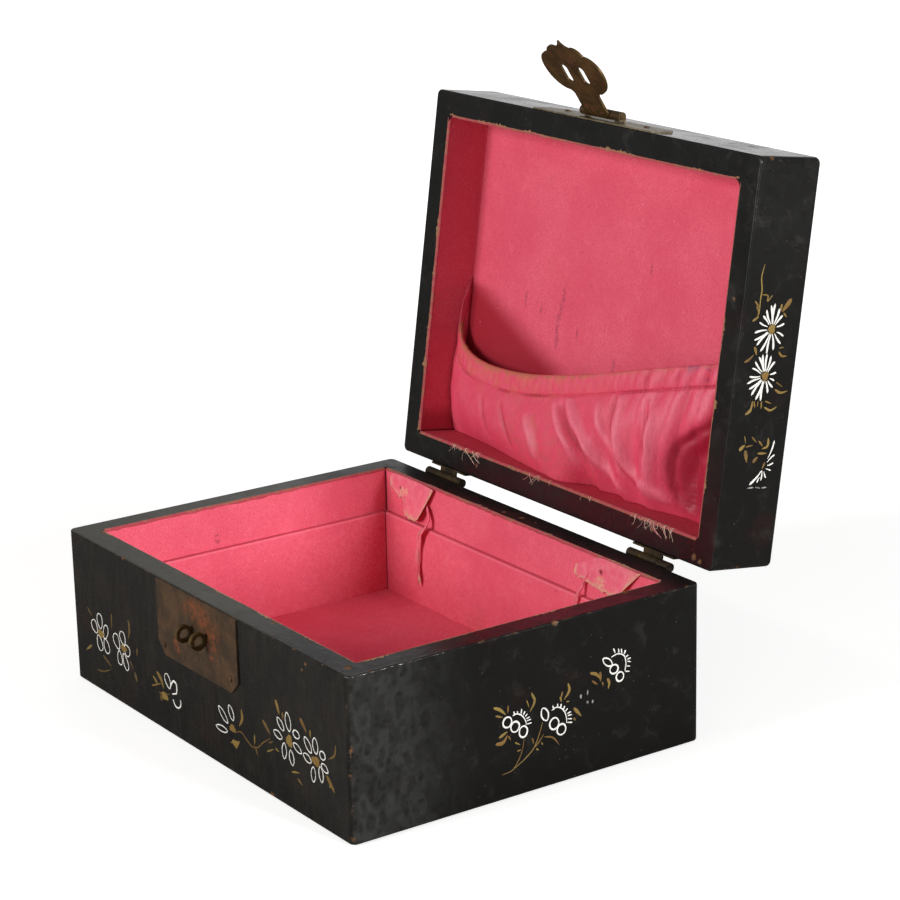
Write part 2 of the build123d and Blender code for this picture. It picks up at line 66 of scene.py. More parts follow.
# The shut box in mm. STEP is how far a wall's lining stops short of the rim, PANEL_FACE is the
# lined face of the lid's panel, and the ledge runs round inside the base.
HALF_WIDTH = 125.0
HALF_DEPTH = 94.7
BASE_RIM = 76.6
LID_RIM = 76.9
LID_TOP = 113.1
BOARD = 11.8
CARD = 1.0
STEP = 0.6
LINING_X = HALF_WIDTH - BOARD - CARD
LINING_Y = HALF_DEPTH - BOARD - CARD
PANEL_FACE = 101.7
LEDGE_TOP = 54.0
LEDGE_DEPTH = 2.5
LEDGE_FACE = LINING_Y - LEDGE_DEPTH


class Body(Enum):
    """The bodies that pieces ride on."""

    BASE = "base"
    LID = "lid"


class Slot(Enum):
    """The material slots."""

    LACQUER = "black_lacquer"
    PAPER = "pink_paper"
    SATIN = "pocket_satin"
    ELASTIC = "elastic"
    SILK = "ribbon_silk"
    BRASS = "plate_brass"
    BRONZE = "fitting_bronze"


@dataclass(frozen=True)
class LidSwing:
    """The lid's hinge axis, along X at y and z, and how far the lid stands open, in degrees."""

    y: float = 99.5
    z: float = 75.3
    degrees: float = 98.2

    @property
    def cosine(self) -> float:
        """The cosine of the opening."""
        return math.cos(math.radians(self.degrees))

    @property
    def sine(self) -> float:
        """The sine of the opening."""
        return math.sin(math.radians(self.degrees))

    def opened(self, points: Array) -> Array:
        """Turns points of the shut lid to where they are with the lid open.

        About the axis (y0, z0), y becomes y0 + (y - y0) cos + (z - z0) sin, and z becomes
        z0 - (y - y0) sin + (z - z0) cos.

        Args:
            points: Points of the shut lid in mm, one row each.

        Returns:
            The same points with the lid open, in mm.
        """
        y, z = points[..., 1] - self.y, points[..., 2] - self.z
        turned = np.array(points, float)
        turned[..., 1] = self.y + y * self.cosine + z * self.sine
        turned[..., 2] = self.z - y * self.sine + z * self.cosine
        return turned

    def shut_offset(self) -> Place:
        """The shift, in mm, that follows a turn by the opening about X to bring the lid shut."""
        c, s = self.cosine, self.sine
        return (0.0, self.y - (self.y * c - self.z * s), self.z - (self.y * s + self.z * c))


SWING = LidSwing()


def srgb(red: float, green: float, blue: float) -> Colour:
    """A linear colour from display values of 0 to 255: v / 12.92, or ((v + 0.055) / 1.055)^2.4."""
    linear = [(v / 255 / 12.92) if v <= 10.3 else ((v / 255 + 0.055) / 1.055) ** 2.4
              for v in (red, green, blue)]
    return (linear[0], linear[1], linear[2], 1.0)


# Lines and meshes


def hermite(stations: Array, values: Array, at: Array) -> Array:
    """Smooth values between uneven stations.

    Each span is h00 a + h10 w m_a + h01 b + h11 w m_b, where w is its width and m the slope
    at a station, which is the mean of the slopes on its two sides.

    Args:
        stations: Rising places of the known values.
        values: The known values, one row for each station.
        at: Where values are wanted.

    Returns:
        One row of values for each place.
    """
    values = np.asarray(values, float)
    slopes = np.gradient(values, stations, axis=0)
    i = np.clip(np.searchsorted(stations, at, side="right") - 1, 0, len(stations) - 2)
    width = stations[i + 1] - stations[i]
    t = (at - stations[i]) / width
    if values.ndim > 1:
        t, width = t[:, None], width[:, None]
    t2, t3 = t * t, t * t * t
    return ((2 * t3 - 3 * t2 + 1) * values[i] + (t3 - 2 * t2 + t) * width * slopes[i]
            + (3 * t2 - 2 * t3) * values[i + 1] + (t3 - t2) * width * slopes[i + 1])


def eased(value: Array) -> Array:
    """A smooth rise from 0 to 1 as the value does the same: 3 v^2 - 2 v^3, and level beyond."""
    share = np.clip(value, 0, 1)
    return share * share * (3 - 2 * share)


def smooth_line(points: Array, count: int) -> Array:
    """Points along the smooth curve through the given ones, evenly by chord length.

    Args:
        points: The given points, one row each.
        count: How many points are wanted.

    Returns:
        The curve's points, one row each.
    """
    points = np.asarray(points, float)
    along = np.concatenate([[0.0], np.cumsum(np.linalg.norm(np.diff(points, axis=0), axis=1))])
    return hermite(along, points, np.linspace(0, along[-1], count))


def quads(rows: int, columns: int, wrap_rows: bool = False, wrap_columns: bool = False) -> Array:
    """The four corners of every cell of a grid of points, row after row.

    Args:
        rows: How many rows of points.
        columns: How many points in a row.
        wrap_rows: Whether the last row joins the first.
        wrap_columns: Whether a row's last point joins its first.

    Returns:
        An array of four point numbers for each face.
    """
    r = np.arange(rows if wrap_rows else rows - 1)[:, None]
    c = np.arange(columns if wrap_columns else columns - 1)[None, :]
    r2, c2 = (r + 1) % rows, (c + 1) % columns
    return np.stack([r * columns + c, r * columns + c2, r2 * columns + c2, r2 * columns + c],
                    axis=-1).reshape(-1, 4)


def end_caps(sections: int, sides: int) -> tuple[Array, Array]:
    """The first and the last section of a closed strip as faces, by point number."""
    return np.arange(sides)[::-1], (sections - 1) * sides + np.arange(sides)


def wander(along: Array, seed: int, spacing: float) -> Array:
    """A smooth uneven value from -1 to 1, through a random knot at every spacing.

    Args:
        along: Where the value is wanted.
        seed: The random draw's seed.
        spacing: How far apart the knots are.

    Returns:
        One value for each place.
    """
    draw = np.random.default_rng(seed)
    knots = np.arange(along.min() - 2 * spacing, along.max() + 3 * spacing, spacing)
    return hermite(knots, draw.uniform(-1, 1, len(knots)), along)


def ragged(along: Array, seed: int, spacing: float = 1.4) -> Array:
    """An uneven value from 0 to 1 along a torn edge: mostly low, with sudden longer tatters.

    Fine random knots, squared, are scaled by broad ones that have every ninth knot's place.

    Args:
        along: Where the value is wanted.
        seed: The random draw's seed.
        spacing: How far apart the fine knots are.

    Returns:
        One value for each place.
    """
    draw = np.random.default_rng(seed)
    knots = np.arange(along.min() - spacing, along.max() + 2 * spacing, spacing)
    fine = np.interp(along, knots, draw.random(len(knots)) ** 2)
    broad = np.interp(along, knots[::9], draw.random(len(knots[::9])))
    return np.clip(fine * (0.35 + 0.65 * broad) + 0.18 * broad, 0, 1)


class Shell:
    """Points and faces gathered from several surfaces into one mesh."""

    def __init__(self) -> None:
        """Starts empty."""
        self.points: list[Array] = []
        self.faces: list[list[int]] = []
        self.tones: list[Array] = []
        self.fades: list[Array] = []
        self.total = 0

    def add(self, points: Array, faces: Array, caps: tuple[Array, ...] = (),
            tone: float | Array = 0.0, fade: float | Array = 0.0) -> None:
        """Adds one surface.

        Args:
            points: Its points in mm.
            faces: Its four-sided faces, by point number.
            caps: Faces with any number of sides, by point number.
            tone: The colour choice its points carry, from 0 to 1.
            fade: How worn its points are, from 0 to 1; on the pocket it carries the painted
            highlight and shade of the folds instead.
        """
        points = points.reshape(-1, 3)
        self.faces += (faces + self.total).tolist()
        self.faces += [(np.asarray(cap) + self.total).tolist() for cap in caps]
        self.points.append(points)
        self.tones.append(np.broadcast_to(np.asarray(tone, float), len(points)))
        self.fades.append(np.broadcast_to(np.asarray(fade, float), len(points)))
        self.total += len(points)

    def piece(self, name: str, body: Body, slot: Slot, material: Material,
              opened: bool = False, outward: bool = True) -> bpy.types.Object:
        """Makes the Blender object, in metres, and lets it ride on its body.

        Args:
            name: The piece's name.
            body: The body it rides on.
            slot: The slot its finish belongs to; not used.
            material: Its finish.
            opened: Whether the points are the shut lid's and have to turn open with it.
            outward: Whether the faces are turned outwards, which closed shells need.

        Returns:
            The new object.
        """
        points = np.concatenate(self.points)
        if opened:
            points = SWING.opened(points)
        mesh = bpy.data.meshes.new(name)
        mesh.from_pydata((points * MM).tolist(), [], self.faces)
        for label, values in (("tone", self.tones), ("fade", self.fades)):
            layer = mesh.attributes.new(label, "FLOAT", "POINT")
            layer.data.foreach_set("value", np.concatenate(values).astype(np.float32))
        if outward:
            work = bmesh.new()
            work.from_mesh(mesh)
            bmesh.ops.recalc_face_normals(work, faces=work.faces)
            work.to_mesh(mesh)
            work.free()
        mesh.polygons.foreach_set("use_smooth", np.ones(len(mesh.polygons), bool))
        mesh.materials.append(material)
        mesh.update()
        made = bpy.data.objects.new(name, mesh)
        bpy.context.scene.collection.objects.link(made)
        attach(made, body.value)
        LOG.info("%s rides on %s with %d faces", name, body.value, len(mesh.polygons))
        return made


def tube(line: Array, half_width: Array, half_thick: Array, twist: Array, sides: int,
         reference: Place) -> tuple[Array, Array, tuple[Array, Array]]:
    """A closed strip or thread along a line, with an oval section that may turn.

    The section at each point is centre + w cos(a + turn) n1 + h sin(a + turn) n2, where n1 and n2
    are square to the line and n1 leans on the reference direction.

    Args:
        line: The centre points in mm.
        half_width: Half the section's width at each point.
        half_thick: Half its thickness at each point.
        twist: How far the section is turned at each point, in radians.
        sides: How many points a section has.
        reference: A direction that the line never follows.

    Returns:
        The points, the faces between sections, and the two end caps.
    """
    tangent = np.gradient(line, axis=0)
    tangent /= np.linalg.norm(tangent, axis=1, keepdims=True)
    first = np.cross(tangent, np.array(reference, float))
    first /= np.linalg.norm(first, axis=1, keepdims=True)
    second = np.cross(tangent, first)
    cosine, sine = np.cos(twist)[:, None], np.sin(twist)[:, None]
    wide_way, thick_way = first * cosine + second * sine, second * cosine - first * sine
    angle = np.linspace(0, 2 * math.pi, sides, endpoint=False)
    points = (line[:, None] + wide_way[:, None] * (half_width[:, None] * np.cos(angle))[..., None]
              + thick_way[:, None] * (half_thick[:, None] * np.sin(angle))[..., None])
    return points, quads(len(line), sides, wrap_columns=True), end_caps(len(line), sides)


def thicken(piece: bpy.types.Object, thick: float) -> None:
    """Gives a sheet its thickness in mm, half of it to each side."""
    cloth = piece.modifiers.new("cloth", "SOLIDIFY")
    cloth.thickness, cloth.offset = thick * MM, 0.0


# Shader tools


class Signal:
    """A number inside a shader, which Python arithmetic extends with one Math node an operator."""

    def __init__(self, graph: Graph, socket: Socket) -> None:
        """Keeps the graph and the socket that gives the number."""
        self.graph, self.socket = graph, socket

    def _math(self, operation: str, *values: Signal | float) -> Signal:
        """One Math node over the values, in their order."""
        made = self.graph.node("ShaderNodeMath", {"operation": operation}, dict(enumerate(values)))
        return Signal(self.graph, made.outputs[0])

    def __add__(self, other: Signal | float) -> Signal:
        """The sum."""
        return self._math("ADD", self, other)

    __radd__ = __add__

    def __sub__(self, other: Signal | float) -> Signal:
        """The difference."""
        return self._math("SUBTRACT", self, other)

    def __rsub__(self, other: float) -> Signal:
        """A number less this."""
        return self._math("SUBTRACT", other, self)

    def __mul__(self, other: Signal | float) -> Signal:
        """The product."""
        return self._math("MULTIPLY", self, other)

    __rmul__ = __mul__

    def either(self, other: Signal | float) -> Signal:
        """The larger of the two."""
        return self._math("MAXIMUM", self, other)

    def size(self) -> Signal:
        """The distance from 0."""
        return self._math("ABSOLUTE", self)

    def ramp(self, low: float, high: float) -> Signal:
        """A smooth rise from 0 at low to 1 at high, or a fall where low is the larger."""
        made = self.graph.node("ShaderNodeMapRange", {"interpolation_type": "SMOOTHSTEP"},
                               {"Value": self, "From Min": low, "From Max": high})
        return Signal(self.graph, made.outputs[0])


class Graph:
    """The nodes of one material, or of the world."""

    def __init__(self, name: str, world: bool = False) -> None:
        """Makes the material, or the world, with an empty tree.

        Args:
            name: Its name.
            world: Whether it is the world.
        """
        self.owner = (bpy.data.worlds if world else bpy.data.materials).new(name)
        self.owner.use_nodes = True
        self.tree = self.owner.node_tree
        self.tree.nodes.clear()
        self.result = self.tree.nodes.new(f"ShaderNodeOutput{'World' if world else 'Material'}")

    def node(self, kind: str, settings: dict[str, Any] | None = None,
             inputs: Inputs | None = None) -> bpy.types.Node:
        """Adds a node.

        Args:
            kind: The node's type.
            settings: Its properties, set first.
            inputs: Values or links for its sockets, by name or number.

        Returns:
            The new node.
        """
        made = self.tree.nodes.new(kind)
        for label, value in (settings or {}).items():
            setattr(made, label, value)
        for label, value in (inputs or {}).items():
            source = value.socket if isinstance(value, Signal) else value
            if isinstance(source, Socket):
                self.tree.links.new(source, made.inputs[label])
            else:
                made.inputs[label].default_value = source
        return made

    def vector(self, operation: str, inputs: Inputs) -> Socket:
        """The vector that one Vector Math node gives."""
        return self.node("ShaderNodeVectorMath", {"operation": operation}, inputs).outputs[0]

    def measure(self, operation: str, inputs: Inputs) -> Signal:
        """The number that one Vector Math node gives, such as a length."""
        made = self.node("ShaderNodeVectorMath", {"operation": operation}, inputs)
        return Signal(self, made.outputs["Value"])

    def place(self, shut_lid: bool = False) -> Socket:
        """The point's place in mm.

        Args:
            shut_lid: Whether a piece of the open lid reads its place in the shut lid.

        Returns:
            The vector socket.
        """
        coordinates = self.node("ShaderNodeTexCoord").outputs["Object"]
        scaled = self.vector("SCALE", {0: coordinates, "Scale": 1 / MM})
        if not shut_lid:
            return scaled
        turn = (math.radians(SWING.degrees), 0.0, 0.0)
        return self.node("ShaderNodeMapping", {"vector_type": "POINT"},
                         {"Vector": scaled, "Location": SWING.shut_offset(),
                          "Rotation": turn}).outputs[0]

    def parts(self, vector: Socket) -> tuple[Signal, Signal, Signal]:
        """A vector's three numbers."""
        made = self.node("ShaderNodeSeparateXYZ", None, {0: vector})
        return tuple(Signal(self, made.outputs[k]) for k in range(3))

    def stretched(self, vector: Socket, scale: Place,
                  turn: Place = (0, 0, 0)) -> Socket:
        """The vector turned and then stretched along each axis."""
        turned = self.node("ShaderNodeMapping", {"vector_type": "POINT"},
                           {"Vector": vector, "Rotation": turn}).outputs[0]
        return self.vector("MULTIPLY", {0: turned, 1: scale})

    def noise(self, vector: Socket, size: float, detail: float = 3.0,
              rough: float = 0.55, bend: float = 0.0) -> Signal:
        """Cloudy noise from 0 to 1 with features about size mm across."""
        made = self.node("ShaderNodeTexNoise", None,
                         {"Vector": vector, "Scale": 1 / size, "Detail": detail,
                          "Roughness": rough, "Distortion": bend})
        return Signal(self, made.outputs[0])

    def cells(self, vector: Socket, size: float, feature: str = "F1") -> Signal:
        """The distance within cells about size mm across, as a share of the cell."""
        made = self.node("ShaderNodeTexVoronoi", {"feature": feature},
                         {"Vector": vector, "Scale": 1 / size})
        return Signal(self, made.outputs["Distance"])

    def attribute(self, name: str) -> Signal:
        """A number that the mesh's points carry."""
        made = self.node("ShaderNodeAttribute", {"attribute_name": name})
        return Signal(self, made.outputs["Fac"])

    def spot(self, vector: Socket, centre: Place, radius: float,
             edge: float = 0.6, scale: Place = (1, 1, 1)) -> Signal:
        """A mask that is 1 near a place and 0 away from it.

        Args:
            vector: The point's place in mm.
            centre: The middle of the spot in mm.
            radius: How far from the middle the mask is a half, in mm.
            edge: The share of the radius over which it fades, to either side.
            scale: How much each axis counts in the distance.

        Returns:
            The mask.
        """
        there = self.vector("SUBTRACT", {0: vector, 1: centre})
        if scale != (1, 1, 1):
            there = self.vector("MULTIPLY", {0: there, 1: scale})
        far = self.measure("LENGTH", {0: there})
        return far.ramp(radius * (1 + edge), radius * (1 - edge))

    def spots(self, vector: Socket, rows: Rows) -> Signal:
        """One mask for several spots.

        Args:
            vector: The point's place in mm.
            rows: At least one spot, each as x, y, z and radius in mm.

        Returns:
            The largest of the spots' masks.
        """
        total: Signal | None = None
        for x, y, z, radius in rows:
            made = self.spot(vector, (x, y, z), radius)
            total = made if total is None else total.either(made)
        return total

    def shaken(self, vector: Socket, size: float, far: float) -> Socket:
        """The vector moved unevenly, which makes outlines irregular.

        Args:
            vector: The point's place in mm.
            size: How broad the unevenness is, in mm.
            far: How far a point is moved at most, in about mm.

        Returns:
            The moved place.
        """
        cloud = self.node("ShaderNodeTexNoise", None,
                          {"Vector": vector, "Scale": 1 / size, "Detail": 3.0}).outputs["Color"]
        centred = self.vector("SUBTRACT", {0: cloud, 1: (0.5, 0.5, 0.5)})
        moved = self.vector("SCALE", {0: centred, "Scale": 2 * far})
        return self.vector("ADD", {0: vector, 1: moved})

    def mix(self, share: Signal | float, first: Any, second: Any) -> Socket:
        """A colour between two colours, by a share of the second."""
        return self.node("ShaderNodeMix", {"data_type": "RGBA"},
                         {0: share, 6: first, 7: second}).outputs[2]

    def bump(self, height: Signal, depth: float) -> Socket:
        """A normal from a height of 0 to 1 that stands for depth in mm."""
        return self.node("ShaderNodeBump", None, {"Strength": 1.0, "Distance": depth * MM,
                                                  "Height": height}).outputs[0]

    def shader(self, kind: str, inputs: Inputs) -> Socket:
        """What a shader node gives."""
        return self.node(kind, None, inputs).outputs[0]

    def by_ray(self, camera: Socket, mirror: Socket,
               rest: Socket) -> Socket:
        """A shader that depends on the ray that finds it.

        Args:
            camera: The shader for the camera's own rays.
            mirror: The shader for reflections.
            rest: The shader for all other light.

        Returns:
            The three as one shader.
        """
        rays = self.node("ShaderNodeLightPath").outputs
        unseen = self.shader("ShaderNodeMixShader", {0: rays["Is Glossy Ray"], 1: rest, 2: mirror})
        return self.shader("ShaderNodeMixShader", {0: rays["Is Camera Ray"], 1: unseen, 2: camera})

    def close(self, shader: Socket) -> Any:
        """Ends the tree with a shader and gives the material or the world."""
        self.tree.links.new(shader, self.result.inputs["Surface"])
        return self.owner

    def surface(self, inputs: Inputs) -> Material:
        """Ends the tree with a Principled BSDF and gives the material."""
        return self.close(self.shader("ShaderNodeBsdfPrincipled", inputs))


# Finishes


@dataclass(frozen=True)
class Lacquer:
    """Old black lacquer: glossy and wavy, with rubbed patches, blisters, worn edges and chips.

    The blisters lie on the right side, near its front edge, greyed and ringed with painted
    highlights. The base's rim carries a painted grey reflection at the front and left. A chip is
    x, y, z and radius in mm.
    """

    name: str
    lid: bool
    chips: Rows = ()
    front_haze: float = 1.0
    blisters: float = 1.0
    black: Colour = srgb(14, 13, 12)
    brown: Colour = srgb(38, 30, 21)
    dust: Colour = srgb(60, 58, 50)
    maroon: Colour = srgb(46, 16, 14)
    ground: Colour = srgb(138, 92, 50)

    def material(self) -> Material:
        """Builds the finish.

        Returns:
            Its material.
        """
        g = Graph(self.name)
        at = g.place(self.lid)
        x, y, z = g.parts(at)
        front = y.ramp(-HALF_DEPTH + 1.5, -HALF_DEPTH + 0.4)
        side = x.size().ramp(HALF_WIDTH - 1.5, HALF_WIDTH - 0.4)
        clouds = g.noise(at, 20, 5, 0.6)
        streaks = g.noise(g.stretched(at, (1, 1, 0.16)), 3.4, 5, 0.62)
        blots = g.noise(g.shaken(at, 12, 6), 9, 5, 0.62, 0.4)
        grain = g.noise(at, 1.1, 4, 0.7)
        rubbed = front * self.front_haze * (clouds * 0.6 + streaks * 0.7).ramp(0.5, 0.92)
        colour = g.mix(rubbed * 0.8, self.black, self.brown)
        colour = g.mix(blots.ramp(0.5, 0.85) * 0.22, colour, self.dust)
        near_edge = x.ramp(HALF_WIDTH - 1.5, HALF_WIDTH - 0.4) * y.ramp(-26, -84) * self.blisters
        near_edge = near_edge.either(front * x.ramp(20, 100) * 0.12 * self.blisters)
        cell = g.cells(g.stretched(g.shaken(at, 9, 3.4), (1, 1, 0.5)), 6.6, "SMOOTH_F1")
        bubbles = cell.ramp(0.5, 0.16)
        rings = cell.ramp(0.24, 0.36) * cell.ramp(0.56, 0.4)
        drops = g.cells(g.shaken(at, 5, 1.8), 3.4, "SMOOTH_F1").ramp(0.5, 0.2)
        # The blistered zone is greyed, and its rings are painted highlights round the blisters.
        grey_and_highlight = (0.16 + rings * 0.3 + (1 - drops) * 0.2) * near_edge
        colour = g.mix(grey_and_highlight, colour, srgb(60, 60, 58))
        on_rim = (z - (LID_RIM if self.lid else BASE_RIM)).size().ramp(0.5, 0.1)
        if not self.lid:
            # Painted reflection: the base's rim is greyed at the front and left.
            grey = on_rim * x.ramp(100, 10) * y.ramp(60, 20) * (0.4 + streaks * 0.6)
            colour = g.mix(grey * 0.8, colour, srgb(92, 92, 84))
        red = g.noise(g.stretched(at, (1, 1, 1.4)), 30, 3, 0.5).ramp(0.56, 0.78)
        colour = g.mix(red * 0.35, colour, self.maroon)
        specks = g.cells(g.shaken(at, 2, 0.6), 5.5).ramp(0.07, 0.03)
        colour = g.mix(specks * 0.3, colour, srgb(120, 112, 96))
        reach = HALF_WIDTH + HALF_DEPTH
        corner = (x.size() + y.size()).ramp(reach - 2.4, reach - 1.8)
        top_edge = ((z - (LID_TOP if self.lid else BASE_RIM)).size().ramp(0.7, 0.2)
                    * side.either(front) * 0.7)
        foot_edge = z.size().ramp(1.2, 0.3) * side.either(front)
        edges = corner.either(top_edge).either(foot_edge)
        chips = edges * g.noise(at, 5, 5, 0.7).ramp(0.56, 0.66) * 0.85
        if self.chips:
            chips = chips.either(g.spots(g.shaken(at, 2.6, 1.1), self.chips))
        wood = g.mix(g.noise(at, 1.2, 3, 0.6), srgb(84, 54, 30), self.ground)
        colour = g.mix(chips, colour, wood)
        rough = (0.13 + on_rim * 0.12 + rubbed * 0.26 + clouds.ramp(0.3, 0.7) * 0.1
                 + blots.ramp(0.5, 0.75) * 0.16 + chips * 0.4)
        runs = g.noise(g.stretched(at, (1, 1, 0.45)), 5, 4, 0.55, 0.8)
        height = (bubbles * (0.04 + near_edge * 0.9) + drops * near_edge * 0.25
                  + runs * (0.35 + near_edge * 0.7) + grain * 0.05 - chips * 0.5)
        return g.surface({"Base Color": colour, "Roughness": rough, "IOR": 1.5,
                          "Specular IOR Level": 0.46, "Normal": g.bump(height, 0.34)})


@dataclass(frozen=True)
class Paper:
    """Pink lining paper over card: mottled fibres, stains and specks, painted shade and torn edges.

    In the lid, painted shadow makes it deep behind the pocket and in its slack mouth, and lighter
    painted shade darkens the wall linings beside and under the pocket. Painted shade darkens the
    inner corners and, in the base, the ledge's top, and a painted highlight lightens the ledge's
    edge. Marks are scuffs, each as x, y, z and radius in mm.
    """

    name: str
    lid: bool
    marks: Rows
    pink: Colour = srgb(232, 100, 122)
    deep: Colour = srgb(214, 70, 96)
    pale: Colour = srgb(241, 130, 148)
    tan: Colour = srgb(186, 134, 100)
    ink: Colour = srgb(120, 50, 70)
    shade_line: Colour = srgb(84, 14, 22)
    painted_shade: Colour = srgb(150, 6, 30)

    def _shade_lines(self, x: Signal, y: Signal, z: Signal) -> Signal:
        """Painted shade in the inner corners, where |x| + |y| is largest, and along the ledge's
        top.

        Args:
            x: The point's x in mm.
            y: Its y.
            z: Its z.

        Returns:
            A mask of the seams.
        """
        reach = x.size() + y.size()
        corner = LINING_X + LINING_Y
        upper = reach.ramp(corner - 0.9, corner - 0.3)
        if self.lid:
            return upper
        corner -= 2 * LEDGE_DEPTH
        lower = reach.ramp(corner - 0.6, corner) * z.ramp(LEDGE_TOP + 0.2, LEDGE_TOP - 0.2)
        ledge = (z - LEDGE_TOP).size().ramp(0.22, 0.08)
        return upper.either(lower).either(ledge * 0.28)

    def material(self) -> Material:
        """Builds the finish.

        Returns:
            Its material.
        """
        g = Graph(self.name)
        at = g.place(self.lid)
        x, y, z = g.parts(at)
        stains = g.noise(at, 46, 4, 0.5)
        mottle = g.noise(at, 5.5, 5, 0.62)
        fibres = g.noise(g.stretched(at, (1.6, 1, 1)), 0.85, 3, 0.7)
        colour = g.mix(stains.ramp(0.38, 0.68) * 0.5, self.pink, self.deep)
        colour = g.mix(mottle.ramp(0.45, 0.8) * 0.3, colour, self.pale)
        colour = g.mix(fibres.ramp(0.38, 0.68) * 0.75, colour, self.deep)
        if self.lid:
            # Painted shadow in the pocket's slack mouth and behind the pocket.
            mouth = ((y - 0.45 * x - 50.5) * 0.91).ramp(-9, 8) * x.ramp(-10, -40)
            pocket_shadow = y.ramp(38, 46).either(mouth * 0.95) * y.ramp(0, 6) * z.ramp(98.5, 101.4)
            colour = g.mix(pocket_shadow * 0.94, colour, self.painted_shade)
            # Painted shade on the lid's wall linings beside and under the pocket.
            tucked_shade = (y.ramp(10, -50) * 0.5).either(y.ramp(66, 76)) * z.ramp(101.4, 99.5)
            colour = g.mix(tucked_shade * 0.55, colour, self.painted_shade)
        specks = g.cells(at, 11).ramp(0.055, 0.03)
        colour = g.mix(specks * 0.55, colour, srgb(150, 32, 58))
        flecks = g.cells(g.shaken(at, 4, 1.2), 8).ramp(0.06, 0.035)
        colour = g.mix(flecks * 0.35, colour, srgb(246, 176, 180))
        brown = g.noise(g.shaken(at, 8, 5), 30, 4, 0.55).ramp(0.6, 0.8)
        colour = g.mix(brown * 0.25, colour, srgb(186, 100, 78))
        if self.marks:
            along, up = (0.26, 1.0) if self.lid else (0.6, 0.4)
            drawn = g.stretched(g.shaken(at, 2.4, 0.9), (1.0, along, up))
            rows = tuple((u, v * along, w * up, radius) for u, v, w, radius in self.marks)
            scuffed = g.spots(drawn, rows) * g.noise(at, 0.7, 3).ramp(0.4, 0.62)
            colour = g.mix(scuffed * 0.7, colour, self.ink)
        rim = (LID_RIM + STEP) if self.lid else (BASE_RIM - STEP)
        edge = (z - rim).size().ramp(0.6, 0.15) * g.noise(at, 2.4, 3).ramp(0.42, 0.6)
        colour = g.mix(edge * 0.7, colour, self.tan)
        if not self.lid:
            # Painted highlight along the ledge's upper edge.
            ledge_highlight = (z - LEDGE_TOP + 0.8).size().ramp(0.5, 0.2)
            colour = g.mix(ledge_highlight * 0.4, colour, self.pale)
        # Painted shade along the inner corners and the ledge.
        colour = g.mix(self._shade_lines(x, y, z) * 0.85, colour, self.shade_line)
        height = fibres * 0.75 + mottle * 0.7
        return g.surface({"Base Color": colour, "Roughness": 0.72 + mottle * 0.15,
                          "Specular IOR Level": 0.3, "Normal": g.bump(height, 0.13)})


@dataclass(frozen=True)
class Satin:
    """The pocket's pink satin: fine warp threads down the drop, rubbed tan on the hem, stained low.

    The cloth's tone attribute says how rubbed it is. Its fade attribute is 0 on raised folds, a
    half on the flat and 1 in the creases and stitches, and the colour paints highlight on raised
    folds and shade in creases and along the stitch line. Tucked rows are places of painted shade
    in the right-hand fold, each as x, y, z and radius in mm.
    """

    name: str = "satin"
    pink: Colour = srgb(229, 76, 106)
    pale: Colour = srgb(238, 106, 132)
    worn: Colour = srgb(206, 118, 84)
    stain: Colour = srgb(178, 104, 74)
    blue: Colour = srgb(122, 66, 132)
    painted_shade: Colour = srgb(174, 14, 46)
    tucked_shade: Rows = ((104, 36, 92, 5.5), (97, 41, 92, 6.5), (90, 47, 92, 7.5), (86, 56, 92, 8.5),
                    (86, 65, 92, 9.0), (87, 74, 92, 9.0))

    def material(self) -> Material:
        """Builds the finish.

        Returns:
            Its material.
        """
        g = Graph(self.name)
        at = g.place(True)
        left = g.parts(at)[0].ramp(50, -50)
        rubbed = g.attribute("tone")
        threads = g.noise(g.stretched(at, (1, 0.06, 1)), 0.5, 2, 0.5)
        clouds = g.noise(at, 14, 4, 0.62)
        patches = g.noise(g.shaken(at, 9, 5), 6, 5, 0.66)
        hem = rubbed.ramp(0.7, 0.95) * patches.ramp(0.3, 0.55) * (0.35 + left * 0.4)
        crumple = g.noise(g.stretched(at, (1, 0.5, 1)), 2.4, 5, 0.66, 0.3)
        tucked_shade = g.spots(g.shaken(at, 4, 2), self.tucked_shade)
        casing = rubbed * (0.25 + left * 0.75) * patches.ramp(0.38, 0.66)
        colour = g.mix(clouds.ramp(0.4, 0.75) * 0.4, self.pink, self.pale)
        colour = g.mix(casing * 0.75, colour, self.worn)
        colour = g.mix(hem, colour, srgb(176, 112, 74))
        low = g.spot(at, (-12, 68, 81), 24, 0.8, (0.7, 1.5, 1)) * patches.ramp(0.4, 0.7)
        colour = g.mix(low * 0.42, colour, self.stain)
        # Painted shade in the recess right of the big fold.
        colour = g.mix(tucked_shade * 0.88, colour, self.painted_shade)
        height = g.attribute("fade")
        # Painted highlight on raised folds, and painted shade in creases and along the stitch line.
        colour = g.mix(height.ramp(0.5, 0.1) * 0.6, colour, srgb(246, 128, 150))
        colour = g.mix(height.ramp(0.5, 1.0) * (0.35 + patches * 0.7), colour, srgb(160, 18, 48))
        smear = g.spot(g.shaken(at, 5, 4), (88, 8.0, 91), 8, 0.7, (0.6, 1.6, 1))
        colour = g.mix(smear * patches.ramp(0.48, 0.62) * 0.6, colour, self.blue)
        colour = g.mix(threads.ramp(0.42, 0.72) * 0.3, colour, srgb(176, 44, 78))
        colour = g.mix(crumple.ramp(0.5, 0.7) * 0.16, colour, srgb(196, 52, 84))
        return g.surface({"Base Color": colour, "Roughness": 0.47 + clouds * 0.12 + casing * 0.3,
                          "Specular IOR Level": 0.46,
                          "Normal": g.bump(threads * 0.25 + crumple, 0.24)})


